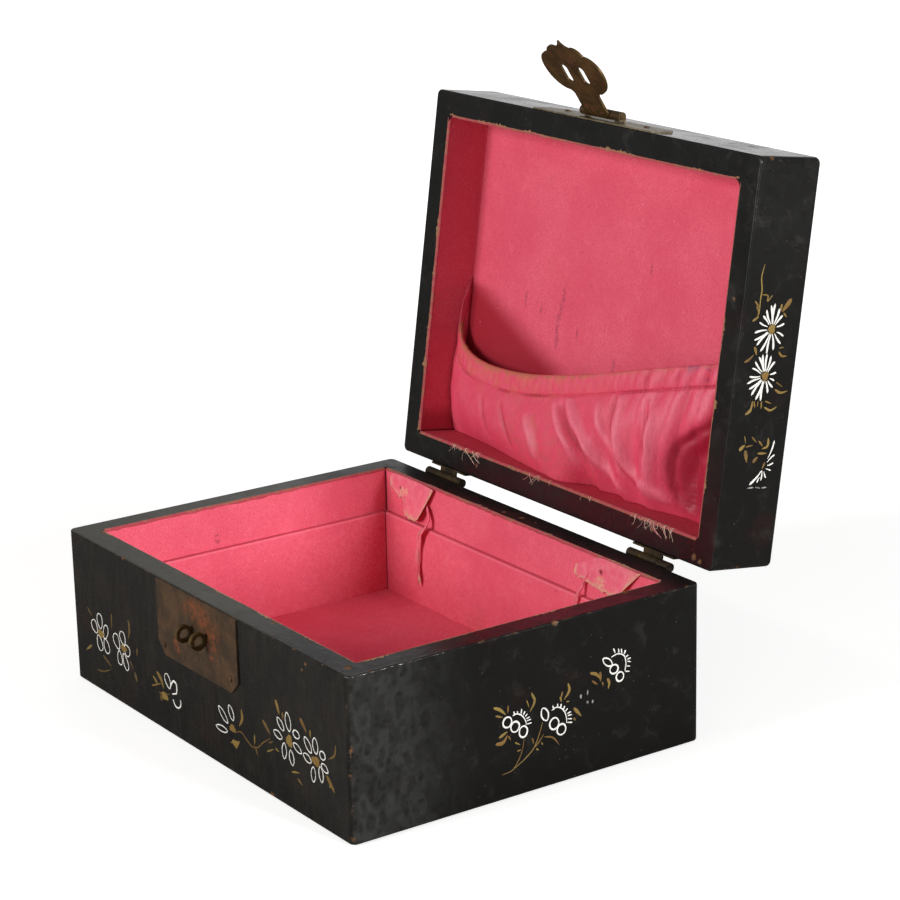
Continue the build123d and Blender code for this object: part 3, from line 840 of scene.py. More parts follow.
@dataclass(frozen=True)
class Silk:
    """Matte ribbon silk and loose paper edges: pink, and bare where the fade attribute is high."""

    name: str
    fresh: Colour = srgb(236, 104, 130)
    pale: Colour = srgb(246, 150, 160)
    bare: Colour = srgb(216, 184, 150)
    spots: Rows = ()
    tears: Rows = ()

    def material(self) -> Material:
        """Builds the finish.

        Returns:
            Its material.
        """
        g = Graph(self.name)
        at = g.place()
        worn = g.attribute("fade")
        mottle = g.noise(at, 4, 4, 0.6)
        ribs = g.noise(g.stretched(at, (0.12, 1, 1)), 0.5, 2, 0.5)
        colour = g.mix(mottle.ramp(0.35, 0.75) * 0.6, self.fresh, self.pale)
        share = (worn + mottle * 0.5).ramp(0.45, 1.1)
        colour = g.mix(share, colour, self.bare)
        if self.spots:
            bare = g.spots(g.shaken(at, 1.6, 1.6), self.spots)
            bare = bare * g.noise(at, 1.3, 4, 0.7).ramp(0.4, 0.56)
            colour = g.mix(bare * 0.8, colour, srgb(226, 200, 156))
        if self.tears:
            open_tear = g.spots(g.shaken(at, 1.6, 0.7), self.tears)
            colour = g.mix(open_tear * 0.85, colour, srgb(120, 14, 30))
        return g.surface({"Base Color": colour, "Roughness": 0.62 + mottle * 0.15,
                          "Sheen Weight": 0.15, "Specular IOR Level": 0.35,
                          "Normal": g.bump(ribs * 0.6 + mottle * 0.5, 0.08)})


@dataclass(frozen=True)
class AgedMetal:
    """Old brass or bronze: a dull brown skin, with brighter metal, rust and grime in patches.

    Rusty rows are places with more rust, each as x, y, z and radius in mm. The metal is duller
    where y is below dull_before.
    """

    name: str
    skin: Colour
    bright: Colour
    rust: Colour
    grime: Colour
    rust_share: float = 0.5
    metal: float = 0.55
    roughness: float = 0.42
    lid: bool = False
    rusty: Rows = ()
    dull_before: float | None = None

    def material(self) -> Material:
        """Builds the finish.

        Returns:
            Its material.
        """
        g = Graph(self.name)
        at = g.place(self.lid)
        clouds = g.noise(at, 9, 5, 0.62, 0.4)
        fine = g.noise(at, 1.3, 4, 0.65)
        scratches = g.noise(g.stretched(at, (1, 1, 0.1), (0.0, 0.5, 0.3)), 0.8, 2, 0.5)
        colour = g.mix(clouds.ramp(0.35, 0.7), self.skin, self.bright)
        patches = g.noise(at, 6, 5, 0.68, 0.8).ramp(0.6 - 0.2 * self.rust_share, 0.72)
        if self.rusty:
            near = g.spots(g.shaken(at, 6, 5), self.rusty)
            patches = patches * 0.3 + near * g.noise(at, 3.2, 5, 0.7).ramp(0.28, 0.72) * 0.95
        colour = g.mix(patches.ramp(0.0, 1.0) * 0.85, colour, self.rust)
        if self.dull_before is not None:
            dull = g.parts(at)[1].ramp(self.dull_before, self.dull_before - 0.6)
            colour = g.mix(dull * 0.9, colour, srgb(76, 54, 28))
        dirt = fine.ramp(0.52, 0.72) * 0.6
        colour = g.mix(dirt, colour, self.grime)
        bare = (1 - dirt) * (1 - patches.ramp(0.2, 1.0) * 0.8)
        return g.surface({"Base Color": colour, "Metallic": bare * self.metal,
                          "Roughness": self.roughness + fine * 0.18 + patches.ramp(0.0, 1.0) * 0.12,
                          "Normal": g.bump(fine * 0.6 + scratches * 0.3 + clouds * 0.4, 0.1)})


@dataclass(frozen=True)
class Paint:
    """Brushed paint that stands a little proud: two colours by the stroke, worn to the lacquer."""

    name: str
    first: Colour
    second: Colour
    under: Colour = srgb(40, 36, 30)
    lid: bool = False

    def material(self) -> Material:
        """Builds the finish.

        Returns:
            Its material.
        """
        g = Graph(self.name)
        at = g.place(self.lid)
        brush = g.noise(at, 0.8, 4, 0.6)
        colour = g.mix(g.attribute("tone"), self.first, self.second)
        colour = g.mix(brush.ramp(0.5, 0.75) * 0.3, colour, self.under)
        worn = (g.attribute("fade") + g.noise(at, 2.4, 4, 0.65) * 0.75 - 0.3).ramp(0.12, 0.95)
        colour = g.mix(worn, colour, self.under)
        return g.surface({"Base Color": colour, "Roughness": 0.45 + brush * 0.2,
                          "Specular IOR Level": 0.3, "Normal": g.bump(brush, 0.04)})


@dataclass(frozen=True)
class Elastic:
    """Perished elastic inside the hem: pale buff with cross ribs."""

    name: str = "elastic"

    def material(self) -> Material:
        """Builds the finish.

        Returns:
            Its material.
        """
        g = Graph(self.name)
        at = g.place(True)
        ribs = g.noise(g.stretched(at, (1, 0.2, 0.2)), 0.6, 2)
        colour = g.mix(ribs, srgb(206, 170, 150), srgb(232, 206, 188))
        return g.surface({"Base Color": colour, "Roughness": 0.8, "Normal": g.bump(ribs, 0.12)})


# Painted flowers


class Face(Enum):
    """The lacquer faces that carry flowers."""

    FRONT = "front"
    RIGHT = "right"
    LID_RIGHT = "lid_right"

    @property
    def on_lid(self) -> bool:
        """Whether the face belongs to the lid."""
        return self is Face.LID_RIGHT

    def place(self, flat: Array, lift: Array) -> Array:
        """Where a point of the face is.

        On the front the two numbers are x and z, and on the right faces y and z. Lift goes out.

        Args:
            flat: Points on the face in mm, two numbers each.
            lift: How far each stands off the face, in mm.

        Returns:
            The points in mm, in the base's frame or the shut lid's.
        """
        u, v = flat[..., 0], flat[..., 1]
        if self is Face.FRONT:
            return np.stack([u, -HALF_DEPTH - lift, v], axis=-1)
        return np.stack([HALF_WIDTH + lift, u, v], axis=-1)


@dataclass(frozen=True)
class Spray:
    """The painted flowers of one face, all sizes in mm on that face.

    A loop, an outlined petal, is its base, its tip and its width, and so is a solid petal. A ring
    or a centre is its middle and its two half sizes. A line, a leaf or a stem is its width and then
    its points. Loops whose base lies beyond pointed_from have pointed petals.
    """

    face: Face
    loops: Rows = ()
    rings: Rows = ()
    lines: Rows = ()
    petals: Rows = ()
    centres: Rows = ()
    gold: Rows = ()
    faint: Rows = ()
    outline: float = 0.85
    ring_outline: float = 0.95
    pointed_from: float = -10.0
    plump: float = 1.0
    slim: float = 0.86
    height: float = 0.13
    sunk: float = 0.05

    def _stroke(self, shell: Shell, line: Array, width: Array, closed: bool,
                tone: float, fade: float) -> None:
        """Adds one raised stroke: six points across, the middle highest.

        Args:
            shell: The mesh that gathers the strokes.
            line: The stroke's middle line on the face.
            width: Its width at each point of the line.
            closed: Whether the line runs back into its start.
            tone: Its colour choice.
            fade: How worn it is.
        """
        if closed:
            along = (np.roll(line, -1, axis=0) - np.roll(line, 1, axis=0)) / 2
        else:
            along = np.gradient(line, axis=0)
        along /= np.maximum(np.linalg.norm(along, axis=1, keepdims=True), 1e-9)
        sideways = np.stack([-along[:, 1], along[:, 0]], axis=1)
        across = np.array([-1.0, -0.6, 0.0, 0.6, 1.0, 0.0]) / 2
        rise = np.array([-1.0, 0.72, 1.0, 0.72, -1.0, -1.4])
        lift = np.where(rise > 0, rise * self.height, rise * self.sunk)
        slim = np.clip(width / 0.5, 0.25, 1)
        flat = line[:, None] + sideways[:, None] * (across[None, :] * width[:, None])[..., None]
        points = self.face.place(flat, np.where(lift > 0, lift * slim[:, None], lift))
        sides = len(across)
        caps = () if closed else end_caps(len(line), sides)
        faces = quads(len(line), sides, wrap_rows=closed, wrap_columns=True)
        shell.add(points, faces, caps, tone, fade)

    def _white(self) -> Shell:
        """The outlined petals, rings, solid petals and white lines.

        A loop runs u = (1 - cos t) / 2 along its axis and w sin t / 2 across, narrower at its base,
        and also at its tip where the flower has pointed petals.

        Returns:
            The gathered strokes.
        """
        shell = Shell()
        turn = np.linspace(0, 2 * math.pi, 34, endpoint=False)
        for k, (bu, bv, tu, tv, wide) in enumerate(self.loops):
            base, axis = np.array([bu, bv]), np.array([tu - bu, tv - bv])
            side = np.array([-axis[1], axis[0]]) / np.linalg.norm(axis)
            share = (1 - np.cos(turn)) / 2
            shape = np.sin(turn) * (0.68 + 0.44 * share)
            if bu > self.pointed_from:
                shape = 1.06 * np.sin(turn) * np.abs(np.sin(turn)) ** 0.35
            shape = shape * self.plump * (wide - self.outline) / 2
            line = base + share[:, None] * axis + shape[:, None] * side
            pressure = self.outline * (0.85 + 0.3 * np.sin(turn + k) ** 2)
            self._stroke(shell, line, pressure, True, 0.1, 0.03 * (k % 4))
        for k, (u, v, half_u, half_v) in enumerate(self.rings):
            line = np.stack([u + half_u * np.cos(turn), v + half_v * np.sin(turn)], axis=1)
            pressure = self.ring_outline * (0.85 + 0.3 * np.sin(turn / 2 + k) ** 2)
            self._stroke(shell, line, pressure, True, 0.0, 0.0)
        share = np.linspace(0, 1, 12)
        for k, (bu, bv, tu, tv, wide) in enumerate(self.petals):
            line = np.array([bu, bv]) + share[:, None] * np.array([tu - bu, tv - bv])
            bow = np.array([-(tv - bv), tu - bu]) * 0.05 * (-1) ** k
            line = line + (np.sin(share * math.pi))[:, None] * bow
            full = (0.3 + 0.7 * share ** 0.8) * np.sqrt(np.clip(1.02 - share ** 7, 0, 1))
            self._stroke(shell, line, wide * full, False, 0.05, 0.02 * (k % 3))
        for k, (wide, *flat) in enumerate(self.lines):
            line = smooth_line(np.reshape(flat, (-1, 2)), 8 * (len(flat) // 2))
            ends = np.sin(np.linspace(0.12, 0.94, len(line)) * math.pi) ** 0.3
            self._stroke(shell, line, wide * ends, False, 0.0, 0.04 * (k % 3))
        for wide, *flat in self.faint:
            line = smooth_line(np.reshape(flat, (-1, 2)), 12)
            ends = np.sin(np.linspace(0.08, 0.92, len(line)) * math.pi) ** 0.5
            self._stroke(shell, line, wide * ends, False, 0.3, 0.55)
        return shell

    def _gold(self) -> Shell:
        """The leaves, stems and flower centres, in tones from olive to orange brown.

        A leaf swells as sin(pi s^0.7) along its length, and a stem keeps its width. A centre is a
        low dome r (cos a, sin a) with an uneven edge.

        Returns:
            The gathered strokes.
        """
        shell = Shell()
        for k, (wide, *flat) in enumerate(self.gold):
            points = np.reshape(flat, (-1, 2))
            line = smooth_line(points, 9 * len(points))
            share = np.linspace(0, 1, len(line))
            if len(points) > 3:
                swell = 0.55 + 0.45 * np.sin(share * math.pi)
            else:
                swell = 0.22 + 0.86 * np.sin(math.pi * share ** 0.7) ** 0.8
            tone = (k * 0.37) % 1.0
            dim = (0.34 if points[0, 0] < -50 else 0.12) if self.face is Face.FRONT else 0.04
            self._stroke(shell, line, wide * self.slim * swell, False, tone,
                         dim + 0.28 * ((k * 0.61) % 1.0))
        around = 20
        angle = np.linspace(0, 2 * math.pi, around, endpoint=False)
        share = np.array([0.35, 0.7, 0.92, 1.0])[:, None]
        rise = np.array([1.25, 1.0, 0.6, -0.4])[:, None] * self.height
        circles = len(share)
        for k, (u, v, half_u, half_v) in enumerate(self.centres):
            uneven = 1 + 0.13 * np.sin(3 * angle + k) + 0.08 * np.sin(7 * angle + 2 * k)
            flat = np.stack([u + half_u * share * np.cos(angle) * uneven,
                             v + half_v * share * np.sin(angle) * uneven], axis=-1)
            dome = self.face.place(flat, np.broadcast_to(rise, flat.shape[:2]))
            middle = self.face.place(np.array([[u, v]]), np.array([1.3 * self.height]))
            under = self.face.place(np.array([[u, v]]), np.array([-self.sunk]))
            points = np.concatenate([dome.reshape(-1, 3), middle, under])
            top, rim = circles * around, (circles - 1) * around
            fan = [(top, a, (a + 1) % around) for a in range(around)]
            foot = [(top + 1, rim + (a + 1) % around, rim + a) for a in range(around)]
            shell.add(points, quads(circles, around, wrap_columns=True), (*fan, *foot),
                      0.35 + 0.3 * (k % 2), 0.08)
        return shell

    def build(self) -> None:
        """Makes the white piece and the gold piece of this face."""
        name, on_lid = self.face.value, self.face.on_lid
        white = Paint(f"white_paint_{name}", srgb(238, 236, 230), srgb(206, 200, 188), lid=on_lid)
        gold = Paint(f"gold_paint_{name}", srgb(142, 118, 58), srgb(118, 86, 38), lid=on_lid)
        body = Body.LID if on_lid else Body.BASE
        self._white().piece(f"{name}_petals", body, Slot.LACQUER, white.material(), opened=on_lid)
        self._gold().piece(f"{name}_leaves", body, Slot.LACQUER, gold.material(), opened=on_lid)


FRONT_SPRAY = Spray(
    face=Face.FRONT,
    plump=0.94,
    outline=0.62,
    ring_outline=0.72,
    slim=0.74,
    loops=(
        (-101.1, 29.7, -105.5, 35.1, 7), (-97.2, 32.9, -98, 40.5, 6.8),
        (-93.9, 28.8, -90.5, 36.3, 5.7), (-100.3, 28.9, -97.4, 21.6, 6.8),
        (-93.4, 29, -90.4, 22.2, 6.8), (-78.8, 28, -83.1, 34.6, 7.3), (-73.4, 31.5, -76, 37.8, 6.8),
        (-72.9, 31.7, -68.9, 27.5, 7.1), (-78.9, 27.2, -78.4, 20.1, 5.9),
        (-74.7, 27, -71.3, 19.3, 5.8), (-29.8, 23, -33.5, 29.4, 6.1), (23.1, 23, 15.2, 28.9, 4.1),
        (28.2, 25.9, 24.7, 32.4, 4.5), (22.5, 18.9, 12.3, 18.4, 3.5), (76.6, 36.6, 74.9, 45, 5),
        (72, 35.5, 66.7, 40, 4.1), (70.3, 31.4, 63.3, 32.7, 4), (79.5, 32.1, 86.2, 29.7, 3.8),
        (72, 29.8, 71.4, 22.2, 4.3), (77, 28.1, 78.4, 21.2, 4.3), (94.3, 32.5, 88.9, 38.2, 4.5),
        (98.1, 33.3, 97.1, 40.5, 4.8), (93.9, 28.1, 87.5, 29.9, 4.1), (102, 30, 107.3, 27.9, 3.9),
        (95.5, 26.5, 95, 19.4, 4.2), (101.1, 28.6, 102, 21.5, 4.1),
    ),
    rings=(
        (82.2, 37.1, 2.6, 1.8), (103.2, 34.3, 2.2, 1.9),
    ),
    lines=(
        (1.3, -29.8, 23.2, -28.1, 26.3, -25.6, 28, -23.8, 27.3, -23.3, 24.4, -24.1, 22.1),
        (0.9, -27.9, 21, -23.4, 22.5),
        (1, -27.5, 18.5, -25.4, 15.8, -22.3, 15.8, -20.2, 17.9, -20.3, 20.4),
    ),
    centres=(
        (-97.1, 30.4, 3.4, 2), (-74.1, 29.6, 3.1, 1.8), (-35.5, 17.5, 3.2, 2),
        (27.1, 21.8, 2.8, 1.9), (76.2, 32, 2.7, 3), (97.5, 29.8, 3.5, 2.3), (29.1, 15.2, 2.9, 1.8),
    ),
    gold=(
        (2.1, -107.7, 21.4, -113.8, 17.2), (1.3, -103.8, 9.9, -96.9, 11, -87.7, 15),
        (1.8, -96.4, 19.6, -87.6, 16.1), (3.3, -64.5, 20.7, -63.3, 18.5, -61.8, 16),
        (2.8, -68, 45.9, -67.3, 41.6, -68.7, 36.1), (2, -84.8, 44.1, -85.5, 36.2),
        (1.6, -110.3, 40.6, -105.6, 37.1), (1.9, -60.5, 34, -61, 29.8), (2.4, -68.5, 25, -65, 21),
        (3.4, -42, 27.9, -38, 24.7, -36, 21), (1.4, -47.6, 19.1, -38.2, 23),
        (2.4, -46, 24.4, -41.5, 21.7), (1, -41, 17.6, -30.2, 20), (2.1, -38.4, 14.2, -40, 17.2),
        (2.1, -32.5, 16.1, -34.2, 18.5), (2.9, 35.6, 33.6, 36.2, 29.8, 33.3, 25),
        (1.3, 28.9, 20.4, 34.7, 22.5, 39.2, 20.5, 43, 18.8, 48.6, 19.8, 53.5, 23.6, 60, 27.9),
        (1.7, 46.5, 25.3, 46.2, 20), (1.9, 46.9, 19, 48.6, 16), (1.4, 24.7, 14.2, 33.3, 17.5),
        (1.8, 29.4, 12.9, 32.9, 17.4), (2.9, 54, 34.7, 60.2, 29.8), (1.3, 56.8, 20.6, 62.9, 23.8),
        (1.7, 64.2, 24.7, 67.1, 23.9), (1.1, 58.8, 25.4, 62.8, 27.4), (3.2, 65.8, 48, 68.7, 42),
        (2.1, 71.1, 43.9, 71.7, 40.4), (3.5, 85.8, 46, 90.9, 40.8), (2, 93.6, 42.9, 94.1, 39.5),
        (1.7, 114.1, 42.7, 112.9, 37.7, 108.1, 34.4), (1.5, 77.3, 18, 83.8, 19.7),
        (2, 81.9, 16.5, 85.8, 14.6), (3.5, 105.7, 26.2, 112.2, 20.1),
        (1.3, 107.6, 21.9, 111.6, 21.9),
    ),
)
RIGHT_SPRAY = Spray(
    face=Face.RIGHT,
    pointed_from=-999,
    loops=(
        (7.9, 31.6, 5.7, 37.9, 4.3), (44.3, 48.8, 39.3, 53, 3.7),
    ),
    rings=(
        (-13.5, 36.1, 2.3, 2.4), (-9.4, 33, 2.3, 2.4), (-5, 29.6, 2.2, 2.6), (11.9, 29.1, 2.5, 2.7),
        (15.8, 25.4, 2.4, 2.5), (45.4, 46.7, 2.3, 2.1), (48.7, 42.4, 2.1, 2.2),
    ),
    lines=(
        (0.8, -10.6, 38.4, -8.5, 38.8, -6.4, 37.9, -4.5, 35.9, -3.5, 33.8, -3.3, 32.4),
        (0.7, 10.6, 35.6, 12.7, 36.5, 15.7, 35.5, 18, 32.4, 18.7, 29.6, 18.6, 27.7),
        (0.8, 43.9, 52.8, 47.5, 53.5, 51.1, 51.8, 52.1, 48.5, 51.6, 44.3),
        (0.8, -10, 40.3, -9.6, 38.5), (0.8, -8.1, 40, -7.9, 38.4), (0.9, -5.8, 40.4, -6, 38.3),
        (0.9, -4, 39, -4.8, 37.4), (0.8, -2.6, 37.4, -3.9, 36.4), (0.8, -1.5, 35.7, -3.2, 35.2),
        (0.7, -0.8, 34.4, -3, 34.2), (0.7, -0.5, 32.7, -3, 32.6), (0.8, 11.1, 37.7, 11.9, 35.7),
        (0.8, 13.8, 38, 13.9, 36.2), (1, 15.9, 37.5, 15.4, 35.7), (1, 17.8, 36, 16.9, 34.5),
        (0.8, 19.3, 34.5, 18.1, 33.3), (0.8, 21.1, 32.5, 19, 32), (0.7, 21.6, 31, 19.3, 31),
        (0.7, 21.6, 29, 19.3, 29.6), (0.7, 21.8, 27.2, 19.1, 27.9), (0.9, 45.1, 56.6, 46, 54.4),
        (0.8, 47.9, 55.9, 48.2, 53.9), (1, 49.6, 55.4, 49.8, 53.3), (1, 52, 54.3, 51.1, 52.6),
        (0.8, 53.5, 51.5, 52.1, 51), (0.7, 54.9, 49.9, 52.9, 49.6), (0.6, 54.9, 48, 52.9, 48.7),
        (0.6, 54.6, 46, 52.5, 46.5), (0.7, 54.1, 43.6, 51.8, 44.1),
    ),
    gold=(
        (2, -20.8, 44.6, -17.6, 43, -14.3, 39.9), (1.3, -19.8, 40.6, -15.8, 39),
        (1.1, -12.9, 43.8, -13.2, 40.1), (1.8, -0.4, 46.7, 1.3, 42.5, -1.3, 37.9),
        (0.9, -3, 43.8, -1.6, 40.1), (2.5, -20, 27.3, -16, 27.2, -13.5, 30.1),
        (1.9, -18.1, 29.8, -13.5, 31.8), (1, -13.1, 29.6, -11.8, 27.3),
        (0.9, -16.6, 12.2, -11, 13.1, -7.5, 17.3, -5.7, 21.1, -4.6, 26.2),
        (0.8, -11, 13.1, -5, 16.2, 0.5, 20.4, 3.6, 26.1, 5.5, 31.4),
        (0.8, 0.5, 20.4, 3.5, 22.6, 6.1, 25.7), (1, -9.7, 25.7, -6.8, 23.9),
        (0.9, -8.5, 21.3, -6.3, 21.4), (1.2, -0.2, 25.5, 0.6, 22.3), (1.2, 1.8, 19.7, 3.3, 18.8),
        (1, 4.8, 21.9, 5.7, 20.6), (1.2, 6.4, 24.3, 11, 22.7, 14.6, 18.3),
        (1.8, 19.7, 46.3, 20.4, 42.9, 17.3, 39), (1.3, 16.6, 43.2, 15.6, 39.4),
        (0.9, 18.6, 37.7, 20.4, 37.6), (2.1, 22.8, 33.8, 24.3, 32, 26.9, 29),
        (1.4, 22.6, 29.1, 23.7, 27.6), (1.2, 15.2, 40.9, 16, 38.3),
        (2, 31.9, 48, 35.3, 46.7, 37.8, 43.9), (2, 37.6, 47.3, 37.8, 42.7),
        (1.9, 41.6, 43.3, 42.6, 40.8, 42.1, 38.1), (1.2, 38.7, 42.3, 39.3, 40.2),
        (1.3, 33, 44.1, 36.1, 41.6),
    ),
    faint=(
        (1.4, 26.7, 39.2, 26.8, 37.3), (1, 30.6, 40.4, 30.4, 38.1), (1.4, 30.4, 35.3, 30.5, 33.8),
        (1.2, 33.4, 35, 33.1, 33.5),
    ),
)
LID_SPRAY = Spray(
    face=Face.LID_RIGHT,
    petals=(
        (-19.5, 95.4, -28.8, 95.5, 1.9), (-19.4, 96.1, -26.7, 98.5, 1.9),
        (-19, 97, -23.4, 100.9, 1.7), (-18.2, 98, -19.7, 102.5, 1.5),
        (-15.9, 98.2, -13.8, 102.8, 1.3), (-15.2, 97.2, -10.4, 101.6, 1.5),
        (-14.9, 95.9, -7.6, 97.5, 1.8), (-15, 95.1, -5.9, 93.9, 1.8), (-15.2, 94.3, -7, 89.8, 1.8),
        (-15.6, 93.5, -9.9, 87.3, 1.7), (-16, 93, -12.3, 85.5, 1.6),
        (-16.8, 92.4, -15.6, 85.1, 1.5), (-18.4, 92.5, -20.5, 87.3, 1.2),
        (-19.2, 93.3, -23.4, 88.9, 1.5), (-19.5, 94.2, -26.1, 90.7, 1.7),
        (-19.6, 94.9, -28.1, 93.1, 1.8), (2.1, 94.6, -5.9, 94.3, 1.9), (2.2, 95.1, -5, 96.8, 1.8),
        (2.5, 96, -2.3, 99.6, 1.8), (3.6, 97.3, 2.6, 101.1, 1.5), (5.4, 97.5, 6.6, 100.5, 1.3),
        (6.3, 96.6, 9.6, 100, 1.5), (6.6, 95.4, 12.3, 97.4, 1.8), (6.6, 94.4, 15.7, 93.6, 1.9),
        (6.4, 93.8, 15.1, 90.5, 1.9), (6.1, 93.2, 13, 87.7, 1.8), (5.7, 92.6, 10.1, 85.8, 1.6),
        (5.2, 92.1, 7.6, 84.4, 1.5), (4.3, 91.7, 4.3, 85.2, 1.4), (3.1, 91.9, 0.4, 86.3, 1.3),
        (2.4, 92.7, -2.6, 87.7, 1.5), (2.2, 93.4, -4.6, 89.6, 1.6), (2.1, 94, -5.7, 91.7, 1.8),
        (42.8, 102.3, 34.4, 105.2, 1.4), (44.5, 102.2, 41, 106.4, 1.2),
        (46, 102.7, 44.8, 106.1, 1.2), (47.5, 101.9, 48.5, 105.2, 0.9),
        (48.7, 101, 51.7, 102.6, 1.2), (48.2, 99.8, 52.9, 99.7, 1.3), (51.1, 98.9, 53.8, 97.5, 1.1),
        (48.2, 99.5, 54.6, 93, 1.8),
    ),
    centres=(
        (-17.2, 95.3, 2.4, 2.1), (4.3, 94.7, 2.2, 2.1),
    ),
    gold=(
        (1.1, -46.6, 86.4, -41, 85.4, -35, 86.5, -30.5, 86.3, -24.2, 86.6),
        (1.2, -33, 86.9, -32.2, 90.6, -30.2, 90.6, -32.6, 93.3), (1.3, -30.1, 83.2, -27.3, 86.2),
        (1.7, -20.9, 83, -23, 86.6), (1.3, -27.9, 84.5, -25.1, 86.1, -22.4, 85.6),
        (3.2, -30.9, 105, -28.6, 103.2, -25.1, 100.3), (1.8, -28.7, 99.5, -25.1, 99.4),
        (1.4, -24.5, 101.2, -22.6, 103.3), (1.7, -2.3, 81, -3.2, 83.3, -5.8, 86.4),
        (1.9, -9.4, 86.2, -5.6, 88), (1.5, -6.8, 101, -4.8, 103.2, -4.6, 106.3),
        (0.9, -8.4, 101, -8.8, 103.9), (1.6, 10.6, 101.4, 12.2, 105, 11.5, 109.3),
        (0.9, 7.2, 101.6, 9.6, 106.2), (2, 21.8, 85.5, 19.9, 88.2, 15.5, 88.9),
        (1.2, 15.6, 89.7, 18.8, 90.8), (1.2, 15.6, 92.3, 18.4, 92.1), (1.2, 15.7, 94.3, 19.4, 94.6),
        (1.1, 15.8, 96.2, 17.2, 100.7), (1.4, 18.6, 96.3, 20.2, 100.4, 18.6, 104),
        (0.8, 31.6, 86.7, 35.2, 87.9), (1.2, 32.1, 91.1, 35, 94.5),
        (1.8, 33, 101.3, 36.9, 101.2, 38.1, 98), (1.2, 34.2, 95.6, 36.9, 98.4),
        (1, 36.8, 88, 36, 92.5), (2.4, 38.3, 84.4, 35.8, 87.5), (2.6, 38.3, 88.1, 44.1, 89.9),
        (2.3, 44.2, 93.5, 41.6, 96.1), (1.4, 40.1, 95.6, 40.2, 101.4),
        (1.5, 44.4, 100.9, 47.6, 99.6),
    ),
    faint=(
        (0.8, 56.1, 92.1, 55.9, 95.7), (0.7, 55.9, 96.9, 56.4, 100),
        (0.8, 56.4, 100.9, 56.2, 103.5),
    ),
)


# The pocket in the lid


